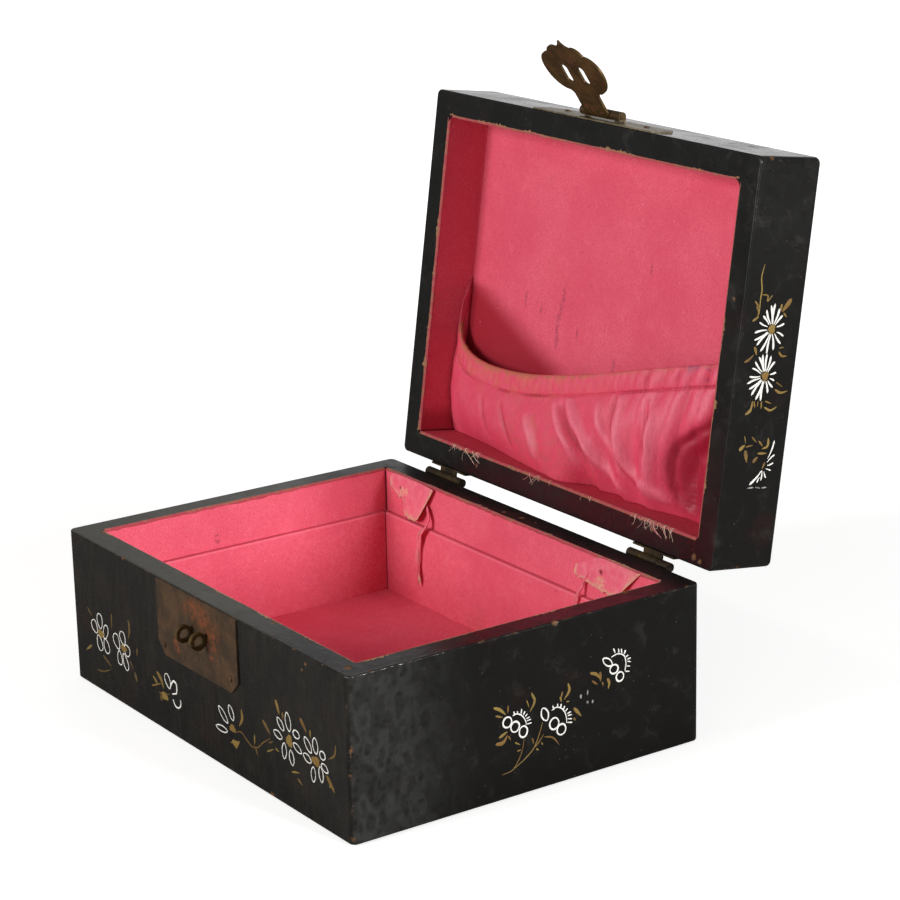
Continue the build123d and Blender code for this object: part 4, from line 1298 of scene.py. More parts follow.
@dataclass(frozen=True)
class Pocket:
    """The gathered pocket of the lid, in mm in the shut lid's frame.

    Each station is x, the hem's y and z, the drape's z at its middle, and its z at the hinge side.
    A ridge is its height, its width and then the x and y of its points, and a negative height is a
    crease. The rows are where the hem's turn, the casing, the drape and the foot start.
    """

    stations: Rows = (
        (-111.2, 25, 95.2, 94, 98.4), (-107.5, 31.2, 93.8, 92.4, 98), (-101, 35.4, 92.4, 91, 97.6),
        (-91, 38.2, 90.8, 89.2, 96.8), (-79, 39.3, 89.2, 87.2, 95.4), (-66, 39.2, 88, 85.2, 93),
        (-40, 37, 86.2, 81.8, 87.6), (-14, 32.4, 85.2, 80.6, 83.4),
        (6, 28, 85, 80.4, 84), (14, 26, 85, 83.2, 93.6), (24, 23.4, 85, 80.8, 90.6),
        (34, 20.8, 85.2, 84.2, 93.6), (44, 18, 85.6, 80.8, 89.8), (54, 15.4, 86.2, 84.4, 92.4),
        (62, 13.3, 86.9, 80.8, 90.6), (68, 11.8, 87.4, 82.6, 93), (74, 10.3, 88.1, 85, 95),
        (82, 8.2, 89.5, 87.6, 97), (93, 5.4, 92, 88, 96), (104, 3, 94.6, 90.5, 96),
        (111.2, 2, 96.6, 93, 97.4),
    )
    ridges: Rows = (
        (1.5, 3.0, -29.5, 56.8, -23, 66, -17.9, 76),
        (1.4, 2.6, -9.8, 46.5, -1.5, 55, 7.3, 63, 12, 72),
        (2.4, 3.0, 1.1, 42, 10, 50, 18.7, 56.8, 31.8, 67.9, 44.6, 77.8),
        (1.8, 3.2, 39.5, 33.6, 43.7, 52.4, 52.5, 66.5, 64.7, 71.4, 81.3, 76),
        (1.6, 2.8, 62.6, 26, 65.4, 42, 66, 53, 65.5, 66),
        (1.2, 2.4, 24.0, 38, 29.0, 48, 38.0, 60),
        (-5.6, 8.5, 109, 36, 101, 43, 92, 49, 87, 58, 86.5, 68, 88, 78),
        (-1.6, 2.2, 104, 25, 97, 33, 88, 40, 80, 47, 76.5, 55, 76.5, 65, 79, 79),
        (-1.5, 2.0, -4.5, 46, 6, 56, 14, 64, 20, 74),
        (-1.6, 2.2, 34.5, 34, 37.5, 50, 44.5, 63, 53, 73),
        (-1.2, 2.0, 58.5, 30, 62.5, 44, 63, 60),
        (-1.0, 2.2, -55, 56, -48, 66, -42, 76),
        (-0.9, 2.0, -74, 56, -70, 66, -66, 76),
    )
    half: float = 111.2
    casing: float = 11.0
    facing: float = 10.6
    cloth: float = 0.5
    turn: float = 1.05
    lift: float = 0.3
    top: float = PANEL_FACE - 0.5
    columns: int = 400
    gusset: int = 6
    hem_row: int = 11
    casing_row: int = 19
    drape_row: int = 35
    wall_row: int = 106
    last_row: int = 115
    flat_size: tuple[float, float] = (0.290, 0.088)

    @property
    def fold_row(self) -> int:
        """The row along the hem's fold, half way round its turn."""
        return (self.hem_row + self.casing_row) // 2

    def _shape(self, x: Array) -> tuple[Array, ...]:
        """The hem's y and z and the drape's two other heights at each x."""
        rows = np.array(self.stations)
        return tuple(hermite(rows[:, 0], rows[:, 1:], x).T)

    def ripple(self, x: Array, far: Array) -> Array:
        """How far the gathers push the cloth out, in mm.

        The phase grows as the sum of 2 pi / pitch, with a fine pitch on the left and a wide one on
        the right. Near the hem the wave is full, beyond the stitches every second fold dies out.

        Args:
            x: Where along the hem.
            far: How far from the hem along the cloth.

        Returns:
            The push in mm, as rows of far by columns of x.
        """
        wide = eased((x - 40) / 18)
        pitch = (5.6 + 3.6 * wide) * (1 + 0.3 * wander(x, 4, 9))
        phase = np.cumsum(2 * math.pi * np.gradient(x) / pitch)
        size = (0.17 + 0.95 * wide) * (1 + 0.6 * wander(x, 8, 6))
        ends = np.clip((self.half - np.abs(x)) / 8, 0, 1)
        s = far[:, None]
        near = np.exp(-((s - self.casing / 2) / 6.5) ** 2)
        later = np.clip((s - 9) / 5, 0, 1) * np.exp(-np.clip(s - 12, 0, None) / 34)
        lean = 0.09 * s
        fold = 2 * np.abs(np.sin(phase / 2 + lean / 2)) ** 0.8 - 1.1
        double = 2 * np.abs(np.sin(phase / 4 + lean / 2 + 1)) ** 0.8 - 1.1
        beyond = later * (0.25 + 0.75 * wide) * (1.35 * double + 0.55 * fold)
        return ends * size * (near * fold * 1.15 + beyond)

    def relief(self, x: Array, y: Array) -> Array:
        """The named folds: each pushes out height exp(-(d / width)^2) at d mm from its line.

        Args:
            x: The cloth's x in mm.
            y: The cloth's y in mm.

        Returns:
            The push in mm at each place.
        """
        total = np.zeros_like(x)
        for height, width, *flat in self.ridges:
            line = smooth_line(np.reshape(flat, (-1, 2)), 40)
            gap = (x[..., None] - line[:, 0]) ** 2 + (y[..., None] - line[:, 1]) ** 2
            along = np.argmin(gap, axis=-1) / (len(line) - 1)
            taper = np.sin(np.clip(0.12 + along * 0.85, 0, 1) * math.pi) ** 0.6
            total += 1.5 * height * taper * np.exp(-np.min(gap, axis=-1) / width ** 2)
        return total

    def _bands(self, x: Array) -> list[tuple[Array, ...]]:
        """The cloth before it is gathered, band by band.

        The bands are the facing, the hem's half turn, the casing, the drape and the foot on the
        hinge-side lining. The drape is the parabola start + a t^2 + b t through its three heights.

        Args:
            x: The x of each column.

        Returns:
            For each band y and z as rows by columns, and for each row how far it lies from the hem
            and how rubbed it is.
        """
        hem_y, hem_z, belly_z, foot_z = self._shape(x)
        fold_y, wall = hem_y + self.casing, LINING_Y - 0.35
        starts = (0, self.hem_row, self.casing_row, self.drape_row, self.wall_row)
        facing, hem, casing, drape = (np.linspace(0, 1, stop - start + 1)[:-1, None]
                                      for start, stop in zip(starts, starts[1:]))
        foot = np.linspace(0, 1, self.last_row - self.wall_row)[:, None]
        puff = (0.45 * np.sin(np.clip(casing * 1.02, 0, 1) * math.pi)
                - np.exp(-((casing - 0.95) / 0.06) ** 2))
        start, mid = hem_z + self.lift - 0.4, 0.58
        a = ((foot_z - start) * mid - (belly_z - start)) / (mid - mid * mid)
        sag = start + a * drape * drape + (foot_z - start - a) * drape + self.lift * drape
        low = foot_z + self.lift
        return [
            (hem_y + self.facing + facing * (self.turn - self.facing),
             hem_z + self.lift + 2 * self.turn, 5.0 + 0 * facing, 0 * facing),
            (hem_y + self.turn - self.turn * np.sin(hem * math.pi),
             hem_z + self.lift + self.turn + self.turn * np.cos(hem * math.pi),
             1.0 + 0 * hem, 1.0 + 0 * hem),
            (hem_y + self.turn + casing * (self.casing - self.turn),
             hem_z + self.lift - 0.4 * casing - puff,
             1.0 + casing * 10, 0.6 + 0.35 * np.exp(-casing / 0.16)),
            (fold_y + drape * (wall - fold_y), sag, 11 + drape * 50, 0.3 * (1 - drape) ** 3),
            (wall + 0 * foot, low + foot * (self.top - low), 61.0 + foot * 6, 0 * foot),
        ]

    def _surface(self) -> tuple[Array, Array, Array]:
        """The gathered cloth's middle surface, how rubbed it is, and how far it stands out.

        Gathers and named folds push the drape outwards, less near the wall, and the folds sway a
        little along x.

        Returns:
            The points as rows by columns, the rubbed share, and the height from -1 to 1.
        """
        x = np.linspace(-self.half, self.half, self.columns)
        bands = self._bands(x)
        y, z = (np.concatenate([np.broadcast_to(band[k], (len(band[2]), self.columns))
                                for band in bands]) for k in (0, 1))
        far, rubbed = (np.concatenate([band[k][:, 0] for band in bands]) for k in (2, 3))
        full_x = np.broadcast_to(x, y.shape).copy()
        fade = eased((LINING_Y - 0.35 - y) / 7)
        fade[:self.drape_row] = 1
        push = self.ripple(x, far)
        push[self.wall_row:] = 0
        push = push * fade
        drape = slice(self.drape_row, self.wall_row)
        push[drape] += self.relief(full_x[drape], y[drape]) * fade[drape]
        sway = 0.5 * np.sin(y / 2.3 + 3 * wander(x, 21, 17)) * wander(x, 22, 5)
        sway = sway * np.clip((y - y[self.fold_row]) / 9, 0, 1) * fade * 0.8
        loose = slice(self.casing_row, self.wall_row)
        full_x[loose] += sway[loose]
        points = np.stack([full_x, y, np.minimum(z - push, self.top)], axis=-1)
        return points, np.broadcast_to(rubbed[:, None], y.shape), np.clip(push / 2.2, -1, 1)

    def _gusset(self, edge: Array, side: float, hem_y: float) -> Array:
        """The cloth from one end of the pocket to the side lining.

        It bows as sin(pi s / 2) outwards and sin(pi s) down. The facing and the hem's turn only
        step aside, and the four rows after them blend into the rest.

        Args:
            edge: The cloth's last column.
            side: -1 on the left and 1 on the right.
            hem_y: The y of the hem's fold at that end.

        Returns:
            The points, as columns away from the edge by rows.
        """
        steps = np.linspace(0, 1, self.gusset + 1)[1:, None, None]
        share = np.clip((edge[:, 1] - hem_y) / (LINING_Y - hem_y), 0, 1)
        blend = np.clip(np.arange(len(edge)) - self.hem_row, 0, 4)[:, None] / 4
        wall = np.stack([np.full(len(edge), side * (LINING_X - 0.42)),
                         0.8 + share * (LINING_Y - 1.2), np.full(len(edge), self.top)], axis=1)
        aim = wall * blend + (edge + np.array([side * 0.35, 0.0, 0.4])) * (1 - blend)
        path = edge + steps * (aim - edge)
        bow = steps[..., 0] * math.pi
        path[..., 2] -= 2.2 * np.sin(bow) * (1 - share) ** 2 * blend[:, 0]
        path[..., 0] = edge[:, 0] + np.sin(bow / 2) * (aim[:, 0] - edge[:, 0])
        return path.transpose(1, 0, 2)

    def build(self) -> bpy.types.Object:
        """Returns:
            The cloth's object.
        """
        grid, rubbed, raised = self._surface()
        inner = slice(self.gusset, -self.gusset)
        fold = grid[self.fold_row]
        left = self._gusset(grid[:, 0], -1.0, fold[0, 1])[:, ::-1]
        right = self._gusset(grid[:, -1], 1.0, fold[-1, 1])
        grid = np.concatenate([left, grid, right], axis=1)
        rubbed = np.concatenate([rubbed[:, :self.gusset] * 0.3, rubbed,
                                 rubbed[:, -self.gusset:] * 0.3], axis=1)
        # Here fade carries painted light: lower on raised folds for highlight, higher in creases
        # for shade.
        sunk = np.full(grid.shape[:2], 0.5)
        sunk[:, inner] -= raised / 2
        # The stitch line gets painted shade, dashed where the stitches are.
        uneven = np.clip(0.55 + 0.6 * wander(fold[:, 0], 31, 9), 0.25, 1)
        stitch = uneven * (0.55 + 0.45 * (np.arange(self.columns) % 5 < 2))
        sunk[self.drape_row - 2:self.drape_row + 1, inner] = 0.5 + 0.5 * stitch
        shell = Shell()
        shell.add(grid, quads(*grid.shape[:2]), tone=rubbed.reshape(-1), fade=sunk.reshape(-1))
        cloth = shell.piece("pocket_cloth", Body.LID, Slot.SATIN, Satin().material(), opened=True,
                            outward=False)
        thicken(cloth, self.cloth)
        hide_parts("pocket", "pocket_hem_facing")
        return cloth

    def build_elastic(self) -> None:
        """Makes the flat elastic inside the hem, waved with the casing."""
        x = np.linspace(-103, 105, 300)
        hem_y, hem_z, _, _ = self._shape(x)
        whole = np.linspace(-self.half, self.half, self.columns)
        middle = self.casing / 2
        push = np.interp(x, whole, self.ripple(whole, np.array([middle]))[0])
        across = np.array([-3.0, -1.5, 0.0, 1.5, 3.0])
        across = np.concatenate([across, across[::-1]])
        up = np.repeat([-0.3, 0.3], 5)
        y = hem_y[:, None] + middle + across
        z = (hem_z + 1.4 - push)[:, None] + up
        points = np.stack([np.broadcast_to(x[:, None], y.shape), y, z], axis=-1)
        shell = Shell()
        shell.add(points, quads(len(x), len(up), wrap_columns=True), end_caps(len(x), len(up)))
        band = shell.piece("elastic_band", Body.LID, Slot.ELASTIC, Elastic().material(),
                           opened=True)
        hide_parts("pocket_elastic")


# Ribbon remnants, torn paper and loose threads


@dataclass(frozen=True)
class Remnant:
    """What is left of one ribbon on the back lining: a torn tab and a twisted strand, in mm.

    A rib is the tab's edge from top to bottom: top x, top z, bottom x, bottom z, and how far its
    top and bottom stand off the lining. A strand point is x, z, how far it stands off the ledge's
    face or the lining, its half width and its turn in degrees.
    """

    side: str
    ribs: Rows
    strand: Rows
    flat_size: tuple[float, float]
    bleached: Rows
    tears: Rows
    seed: int
    columns: int = 72
    rows: int = 36
    sections: int = 90
    sides: int = 10
    fibres: int = 9

    def _tab(self) -> bpy.types.Object:
        """Makes the tab: straight ribs blended across, a frayed lower edge and a low wave.

        Returns:
            The tab's object.
        """
        ribs = np.array(self.ribs)
        across = np.linspace(0, 1, self.columns)
        shape = hermite(np.linspace(0, 1, len(ribs)), ribs, across)
        fray = ragged(across * 40, self.seed, 0.9) * 2.4
        down = np.linspace(0, 1, self.rows)[:, None]
        top, low = shape[:, :2], shape[:, 2:4]
        drop = (low - top) / np.linalg.norm(low - top, axis=1, keepdims=True)
        low = low + drop * (fray - 0.8)[:, None]
        flat = top + down[..., None] * (low - top)
        lift = shape[:, 4] + down ** 1.5 * (shape[:, 5] - shape[:, 4])
        shift = wander(across * 40, self.seed, 6)
        wave = 0.22 * (1 + np.sin(flat[..., 0] / 2.1 + 4 * down + shift))
        lift = 0.3 + lift + wave * (0.25 + down)
        points = np.stack([flat[..., 0], LINING_Y - lift, flat[..., 1]], axis=-1)
        edge = np.maximum((np.abs(across - 0.5) * 2) ** 6, down ** 5)
        shell = Shell()
        shell.add(points, quads(self.rows, self.columns), fade=edge.reshape(-1) * 0.75)
        silk = Silk(f"ribbon_silk_{self.side}", spots=self.bleached, tears=self.tears)
        tab = shell.piece(f"ribbon_{self.side}_tab", Body.BASE, Slot.SILK, silk.material(),
                          outward=False)
        thicken(tab, 0.3)
        return tab

    def _strands(self) -> bpy.types.Object:
        """Makes the strand, which bends over the ledge, and a few loose fibres along it.

        Returns:
            The strand's object.
        """
        rows = np.array(self.strand)
        count, last = self.sections, self.sections - 1
        line = smooth_line(rows[:, :2], count)
        other = hermite(np.linspace(0, 1, len(rows)), rows[:, 2:], np.linspace(0, 1, count))
        on_wall = eased((line[:, 1] - LEDGE_TOP - 0.6) / 6.0)
        y = LEDGE_FACE + LEDGE_DEPTH * on_wall - other[:, 0]
        path = np.stack([line[:, 0], y, line[:, 1]], axis=-1)
        place = np.arange(count)
        ends = np.clip(np.minimum(place, last - place) / 6, 0.2, 1)
        shell = Shell()
        points, faces, caps = tube(path, other[:, 1] * ends, 0.42 * ends,
                                   np.radians(other[:, 2]), self.sides, (0.0, 1.0, 0.0))
        worn = np.repeat(np.clip(1 - place[::-1] / 22, 0, 1) ** 1.5, self.sides)
        shell.add(points, faces, caps, fade=worn)
        draw = np.random.default_rng(self.seed)
        for k in range(self.fibres):
            start = int(draw.integers(4, count - 6))
            length = int(min(last - start, draw.integers(8, 26)))
            if length < 6:
                start, length = last - 9, 9
            part = path[start:start + length].copy()
            away = np.linspace(0, 1, length) ** 1.6
            part[:, 0] += away * draw.uniform(-2.2, 2.2) + draw.uniform(-0.4, 0.4)
            part[:, 1] -= 0.35 + away * draw.uniform(0.1, 0.8)
            part[:, 2] -= away * draw.uniform(0, 2.0)
            thin = np.full(length, 0.11)
            points, faces, caps = tube(part, thin, thin, np.zeros(length), 6, (0.0, 1.0, 0.0))
            shell.add(points, faces, caps, fade=0.25 + 0.5 * (k % 3) / 2)
        silk = Silk(f"strand_silk_{self.side}")
        return shell.piece(f"ribbon_{self.side}_strand", Body.BASE, Slot.SILK, silk.material())

    def build(self) -> None:
        tab, strand = self._tab(), self._strands()
        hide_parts(f"ribbon_tab_{self.side}")
        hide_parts(f"ribbon_strand_{self.side}")


LEFT_REMNANT = Remnant(
    side="left",
    ribs=((-107.0, 72.9, -106.2, 68.4, 0.1, 0.3), (-104.4, 75.6, -101.0, 66.0, 0.0, 0.5),
          (-101.0, 76.0, -95.0, 65.2, 0.0, 0.7), (-96.5, 76.2, -93.0, 62.6, 0.1, 0.8),
          (-92.0, 76.2, -93.6, 57.2, 0.1, 0.9), (-85.0, 76.2, -88.6, 55.4, 0.2, 1.1),
          (-78.0, 76.2, -84.2, 55.2, 0.5, 1.8), (-71.0, 76.2, -80.4, 56.6, 1.0, 2.8),
          (-66.2, 76.0, -77.6, 58.6, 1.6, 3.6)),
    strand=((-72.6, 67.0, 1.6, 1.5, 10), (-71.4, 63, 1.9, 1.9, 25), (-69.8, 59.0, 2.0, 1.3, 40),
            (-70.4, 55.6, 2.4, 1.6, 25), (-74.2, 51.6, 2.1, 2.1, 5), (-76.4, 46.0, 1.8, 1.5, -20),
            (-77.4, 40.0, 1.6, 1.7, -35), (-78.2, 33.5, 1.5, 1.4, -10), (-77.9, 27.5, 1.5, 1.7, 10),
            (-76.7, 23.0, 1.5, 1.9, 0)),
    flat_size=(0.034, 0.018),
    bleached=((-95.4, 81.0, 68.2, 2.2), (-92.4, 81.0, 68.6, 1.6)),
    tears=((-97.6, 81.0, 69.4, 0.9),),
    seed=5,
)
RIGHT_REMNANT = Remnant(
    side="right",
    ribs=((51.0, 68.8, 50.8, 63.8, 0.5, 1.5), (55.2, 70.2, 54.2, 63.6, 0.4, 1.2),
          (62.0, 73.6, 60.6, 62.6, 0.2, 1.0), (68.3, 76.0, 67.6, 60.8, 0.1, 0.9),
          (77.3, 76.2, 74.0, 60.4, 0.0, 0.8), (87.0, 76.2, 80.9, 60.2, 0.1, 1.2),
          (98.7, 76.1, 86.9, 64.3, 0.2, 2.2)),
    strand=((60.5, 67.4, 1.2, 1.2, 0), (59.4, 65.0, 1.3, 1.0, 20), (58.1, 62.5, 1.4, 0.8, 30),
            (57.2, 59.6, 1.5, 0.9, 10), (56.5, 57.0, 1.5, 0.7, 0), (55.6, 53.6, 1.3, 0.9, -20),
            (54.6, 50.3, 1.2, 0.7, -10), (54.1, 47.4, 1.2, 0.8, 0)),
    flat_size=(0.044, 0.013),
    bleached=((69.7, 81.0, 64.2, 2.8), (51.5, 81.0, 65.0, 1.6)),
    tears=((69.9, 81.0, 69.6, 1.2),),
    seed=11,
)


@dataclass(frozen=True)
class TornEdge:
    """Paper torn along the inner edges of a rim, lapping raggedly onto the wood."""

    lid: bool
    lap: float = 2.0
    thick: float = 0.1

    def _strip(self, along: Array, seed: int) -> tuple[Array, Array, Array]:
        """One strip's profile, ten points round, at each place along it.

        It climbs the lining, covers its edge and ends on the rim, and then comes back underneath.

        Args:
            along: Where along the strip, in mm.
            seed: The first seed of its random draws.

        Returns:
            How far each point stands off the lining and how deep it lies below the rim, in mm, and
            how worn it is.
        """
        def level(value: float) -> Array:
            """The same value all along."""
            return np.full_like(along, value)

        torn = ragged(along, seed, 0.8)
        low = 0.35 + 0.7 * ragged(along, seed + 20, 3.3)
        gone = np.clip(wander(along, seed + 50, 14) * 1.5 - 0.1, 0.04, 1)
        reach = 0.06 + (self.lap * torn ** 1.5 + 0.12) * gone
        off = np.stack([level(-0.16), level(-0.16), level(0.12), level(CARD + 0.05),
                        CARD + 0.05 + reach], axis=1)
        deep = np.stack([STEP + low, level(STEP + 0.05), level(STEP - 0.15), level(-0.06),
                         level(-0.09)], axis=1)
        under = np.array([1.0, 1.0, 0.5, 0.0, 0.0]) * self.thick
        inward = np.array([0.02, 0.22, 0.62, 1.02, 1.02]) * self.thick
        off = np.concatenate([off, off[:, ::-1] + inward], axis=1)
        deep = np.concatenate([deep, deep[:, ::-1] + under], axis=1)
        worn = np.array([0.0, 0.1, 0.2, 0.35, 0.8])
        return off, deep, np.concatenate([worn, worn[::-1]]) + 0.5 * torn[:, None]

    def build(self) -> None:
        """Makes the four strips of one rim.

        Heights are measured from the rim into the box, so that one profile serves base and lid.
        """
        rim, into = (LID_RIM, 1.0) if self.lid else (BASE_RIM, -1.0)
        part = "lid" if self.lid else "base"
        seed = 40 if self.lid else 30
        shell = Shell()
        for face, half, along_y in ((LINING_Y, LINING_X, False), (LINING_X, LINING_Y, True)):
            for side in (-1.0, 1.0):
                seed += 1
                along = np.linspace(-half + 0.3, half - 0.3, 460 if along_y else 620)
                off, deep, worn = self._strip(along, seed)
                out, span = side * (face + off), np.broadcast_to(along[:, None], off.shape)
                x, y = (out, span) if along_y else (span, out)
                sides = off.shape[1]
                shell.add(np.stack([x, y, rim + into * deep], axis=-1),
                          quads(len(along), sides, wrap_columns=True),
                          end_caps(len(along), sides), fade=worn.reshape(-1))
        finish = Silk(f"torn_paper_{part}", fresh=srgb(178, 58, 76), pale=srgb(196, 92, 94),
                      bare=srgb(150, 112, 76))
        shell.piece(f"{part}_torn_paper", Body.LID if self.lid else Body.BASE, Slot.PAPER,
                    finish.material(), opened=self.lid)


@dataclass(frozen=True)
class LooseThreads:
    """Frayed threads along the lower edge of the lid's hinge-side lining, in the shut lid's frame.

    A span is where along x threads hang, from and to, and how many there are.
    """

    spans: Rows = ((-84.0, -55.0, 24.0), (64.0, 96.0, 34.0), (-30.0, 40.0, 9.0))
    half_thick: float = 0.04
    half_wide: float = 0.13
    sections: int = 14
    sides: int = 6

    def build(self) -> None:
        """Makes the threads: flat strips that start on the lining and lie flat across the rim."""
        draw = np.random.default_rng(77)
        shell = Shell()
        rim = LID_RIM - 0.09
        for start, stop, count in self.spans:
            for _ in range(int(count)):
                x = draw.uniform(start, stop)
                length = 0.5 + 5.2 * draw.uniform(0, 1) ** 2.2
                lean = draw.uniform(-2.2, 2.2)
                curl = draw.uniform(-1.0, 1.0)
                reach = 0.6 * length
                rows = np.array([(x, LINING_Y - 0.14, 79.0),
                                 (x + lean * 0.3, LINING_Y - 0.16, 77.2),
                                 (x + lean * 0.6, LINING_Y + 0.5, rim),
                                 (x + lean * reach + curl, LINING_Y + 0.8 + reach, rim),
                                 (x + lean * length, LINING_Y + 1.0 + length, rim)])
                line = smooth_line(rows, self.sections)
                line[:, 2] = np.maximum(line[:, 2], LID_RIM - 0.1)
                wide = np.full(self.sections, self.half_wide * draw.uniform(0.6, 1.1))
                thick = np.full(self.sections, self.half_thick)
                points, faces, caps = tube(line, wide, thick, np.zeros(self.sections), self.sides,
                                           (0.05, -0.7, -1.0))
                shell.add(points, faces, caps, fade=draw.uniform(0.2, 1.0))
        finish = Silk("thread_silk", fresh=srgb(238, 150, 150), bare=srgb(236, 214, 184))
        shell.piece("lid_loose_threads", Body.LID, Slot.SILK, finish.material(), opened=True)


@dataclass(frozen=True)
class CornerFill:
    """The lacquered paste that rounds the corners of the lid's opening, in the shut lid's frame.

    The radii are those at the front and at the hinge side, and low and high are above the rim.
    """

    radii: tuple[float, float] = (4.6, 2.6)
    low: float = 0.02
    high: float = 0.55

    def build(self) -> None:
        """Makes four fillets, each between a square corner and a quarter circle in it."""
        shell = Shell()
        angle = np.linspace(0, math.pi / 2, 13)
        circle = np.stack([np.cos(angle), np.sin(angle)], axis=1)
        corner = np.array([HALF_WIDTH - BOARD + 0.1, HALF_DEPTH - BOARD + 0.1])
        heights = LID_RIM + np.array([self.low, self.high])
        for side_x in (-1.0, 1.0):
            for side_y, radius in zip((-1.0, 1.0), self.radii):
                reach = radius + CARD
                outline = np.concatenate([corner - reach + reach * circle, corner[None]])
                outline = outline * np.array([side_x, side_y])
                sides = len(outline)
                points = np.concatenate([np.column_stack([outline, np.full(sides, height)])
                                         for height in heights])
                shell.add(points, quads(2, sides, wrap_columns=True), end_caps(2, sides))
        fill = shell.piece("lid_corner_fill", Body.LID, Slot.LACQUER,
                           Lacquer("lacquer_fill", True).material(), opened=True)
        fill.data.polygons.foreach_set("use_smooth", np.zeros(len(fill.data.polygons), bool))


# Finishes of the CAD pieces


# Chips, scuffs and rust, each as x, y, z and radius in mm, on the shut box.
BASE_CHIPS: Rows = (
    (125, 13, 76.6, 1.5), (115.9, -88.4, 76.6, 1.6), (-1, 87.5, 76.6, 1.2), (9, 88.4, 76.6, 0.8),
    (-14, 86.4, 76.6, 1.1), (-109.4, -84, 76.6, 1.4), (125, -94.7, 44, 0.9), (125, -94.7, 16, 0.9),
    (125, -94.7, 3, 1.3), (91.9, -94.7, 72.5, 0.7), (89.2, -94.7, 69, 0.5), (-125, -94.7, 40, 1.2),
    (-125, 94.7, 5, 1.6), (60, -94.7, 0.6, 1.4), (-70, -94.7, 76.6, 1.0), (114.4, 60, 76.6, 1.1),
    (113.9, 20, 76.6, 0.9), (-113.9, 40, 76.6, 1.2), (-30, -84.2, 76.6, 0.9),
    (50, -84.4, 76.6, 1.2),
)
LID_CHIPS: Rows = (
    (125, -94.7, 84, 1.3), (111.6, 90.8, 76.9, 1.3), (116, 91.8, 76.9, 1.1), (-60, 88, 76.9, 0.8),
    (80, 86, 76.9, 0.8), (-40, -94.7, 113.1, 1.1), (125, 40, 113.1, 0.9), (125, 94.7, 100, 1.1),
    (-125, -94.7, 90, 1.3), (-125, 60, 113.1, 1.2), (30, 94.7, 113.1, 1.2), (118, -30, 76.9, 0.8),
)
PANEL_MARKS: Rows = (
    (-34.6, -3.0, PANEL_FACE, 1.3), (-36.4, 4.0, PANEL_FACE, 1.2), (-37.8, 11.5, PANEL_FACE, 1.3),
    (-37.3, 19.5, PANEL_FACE, 1.3), (-21.4, 12.9, PANEL_FACE, 0.9), (9.3, 24.3, PANEL_FACE, 1.1),
    (-65.5, 3.4, PANEL_FACE, 1.0), (-52.3, 6.1, PANEL_FACE, 0.8), (30.0, -28.0, PANEL_FACE, 0.8),
)
LINING_MARKS: Rows = (
    (-112.2, -19.7, 60.1, 0.8), (-112.2, 38, 44.2, 0.7), (-112.2, -19.2, 58.4, 0.8),
    (-35.4, 81.9, 32.6, 0.8), (-38, 81.9, 30.3, 0.7), (-112.2, 54.4, 26.6, 0.6),
)
RUSTY_PLATE: Rows = (
    (-3.0, -95.5, 69.0, 6.0), (5.0, -95.5, 68.5, 6.5), (12.0, -95.5, 63.0, 7.5),
    (13.0, -95.5, 55.0, 5.5), (-20.0, -95.5, 48.0, 3.0),
)


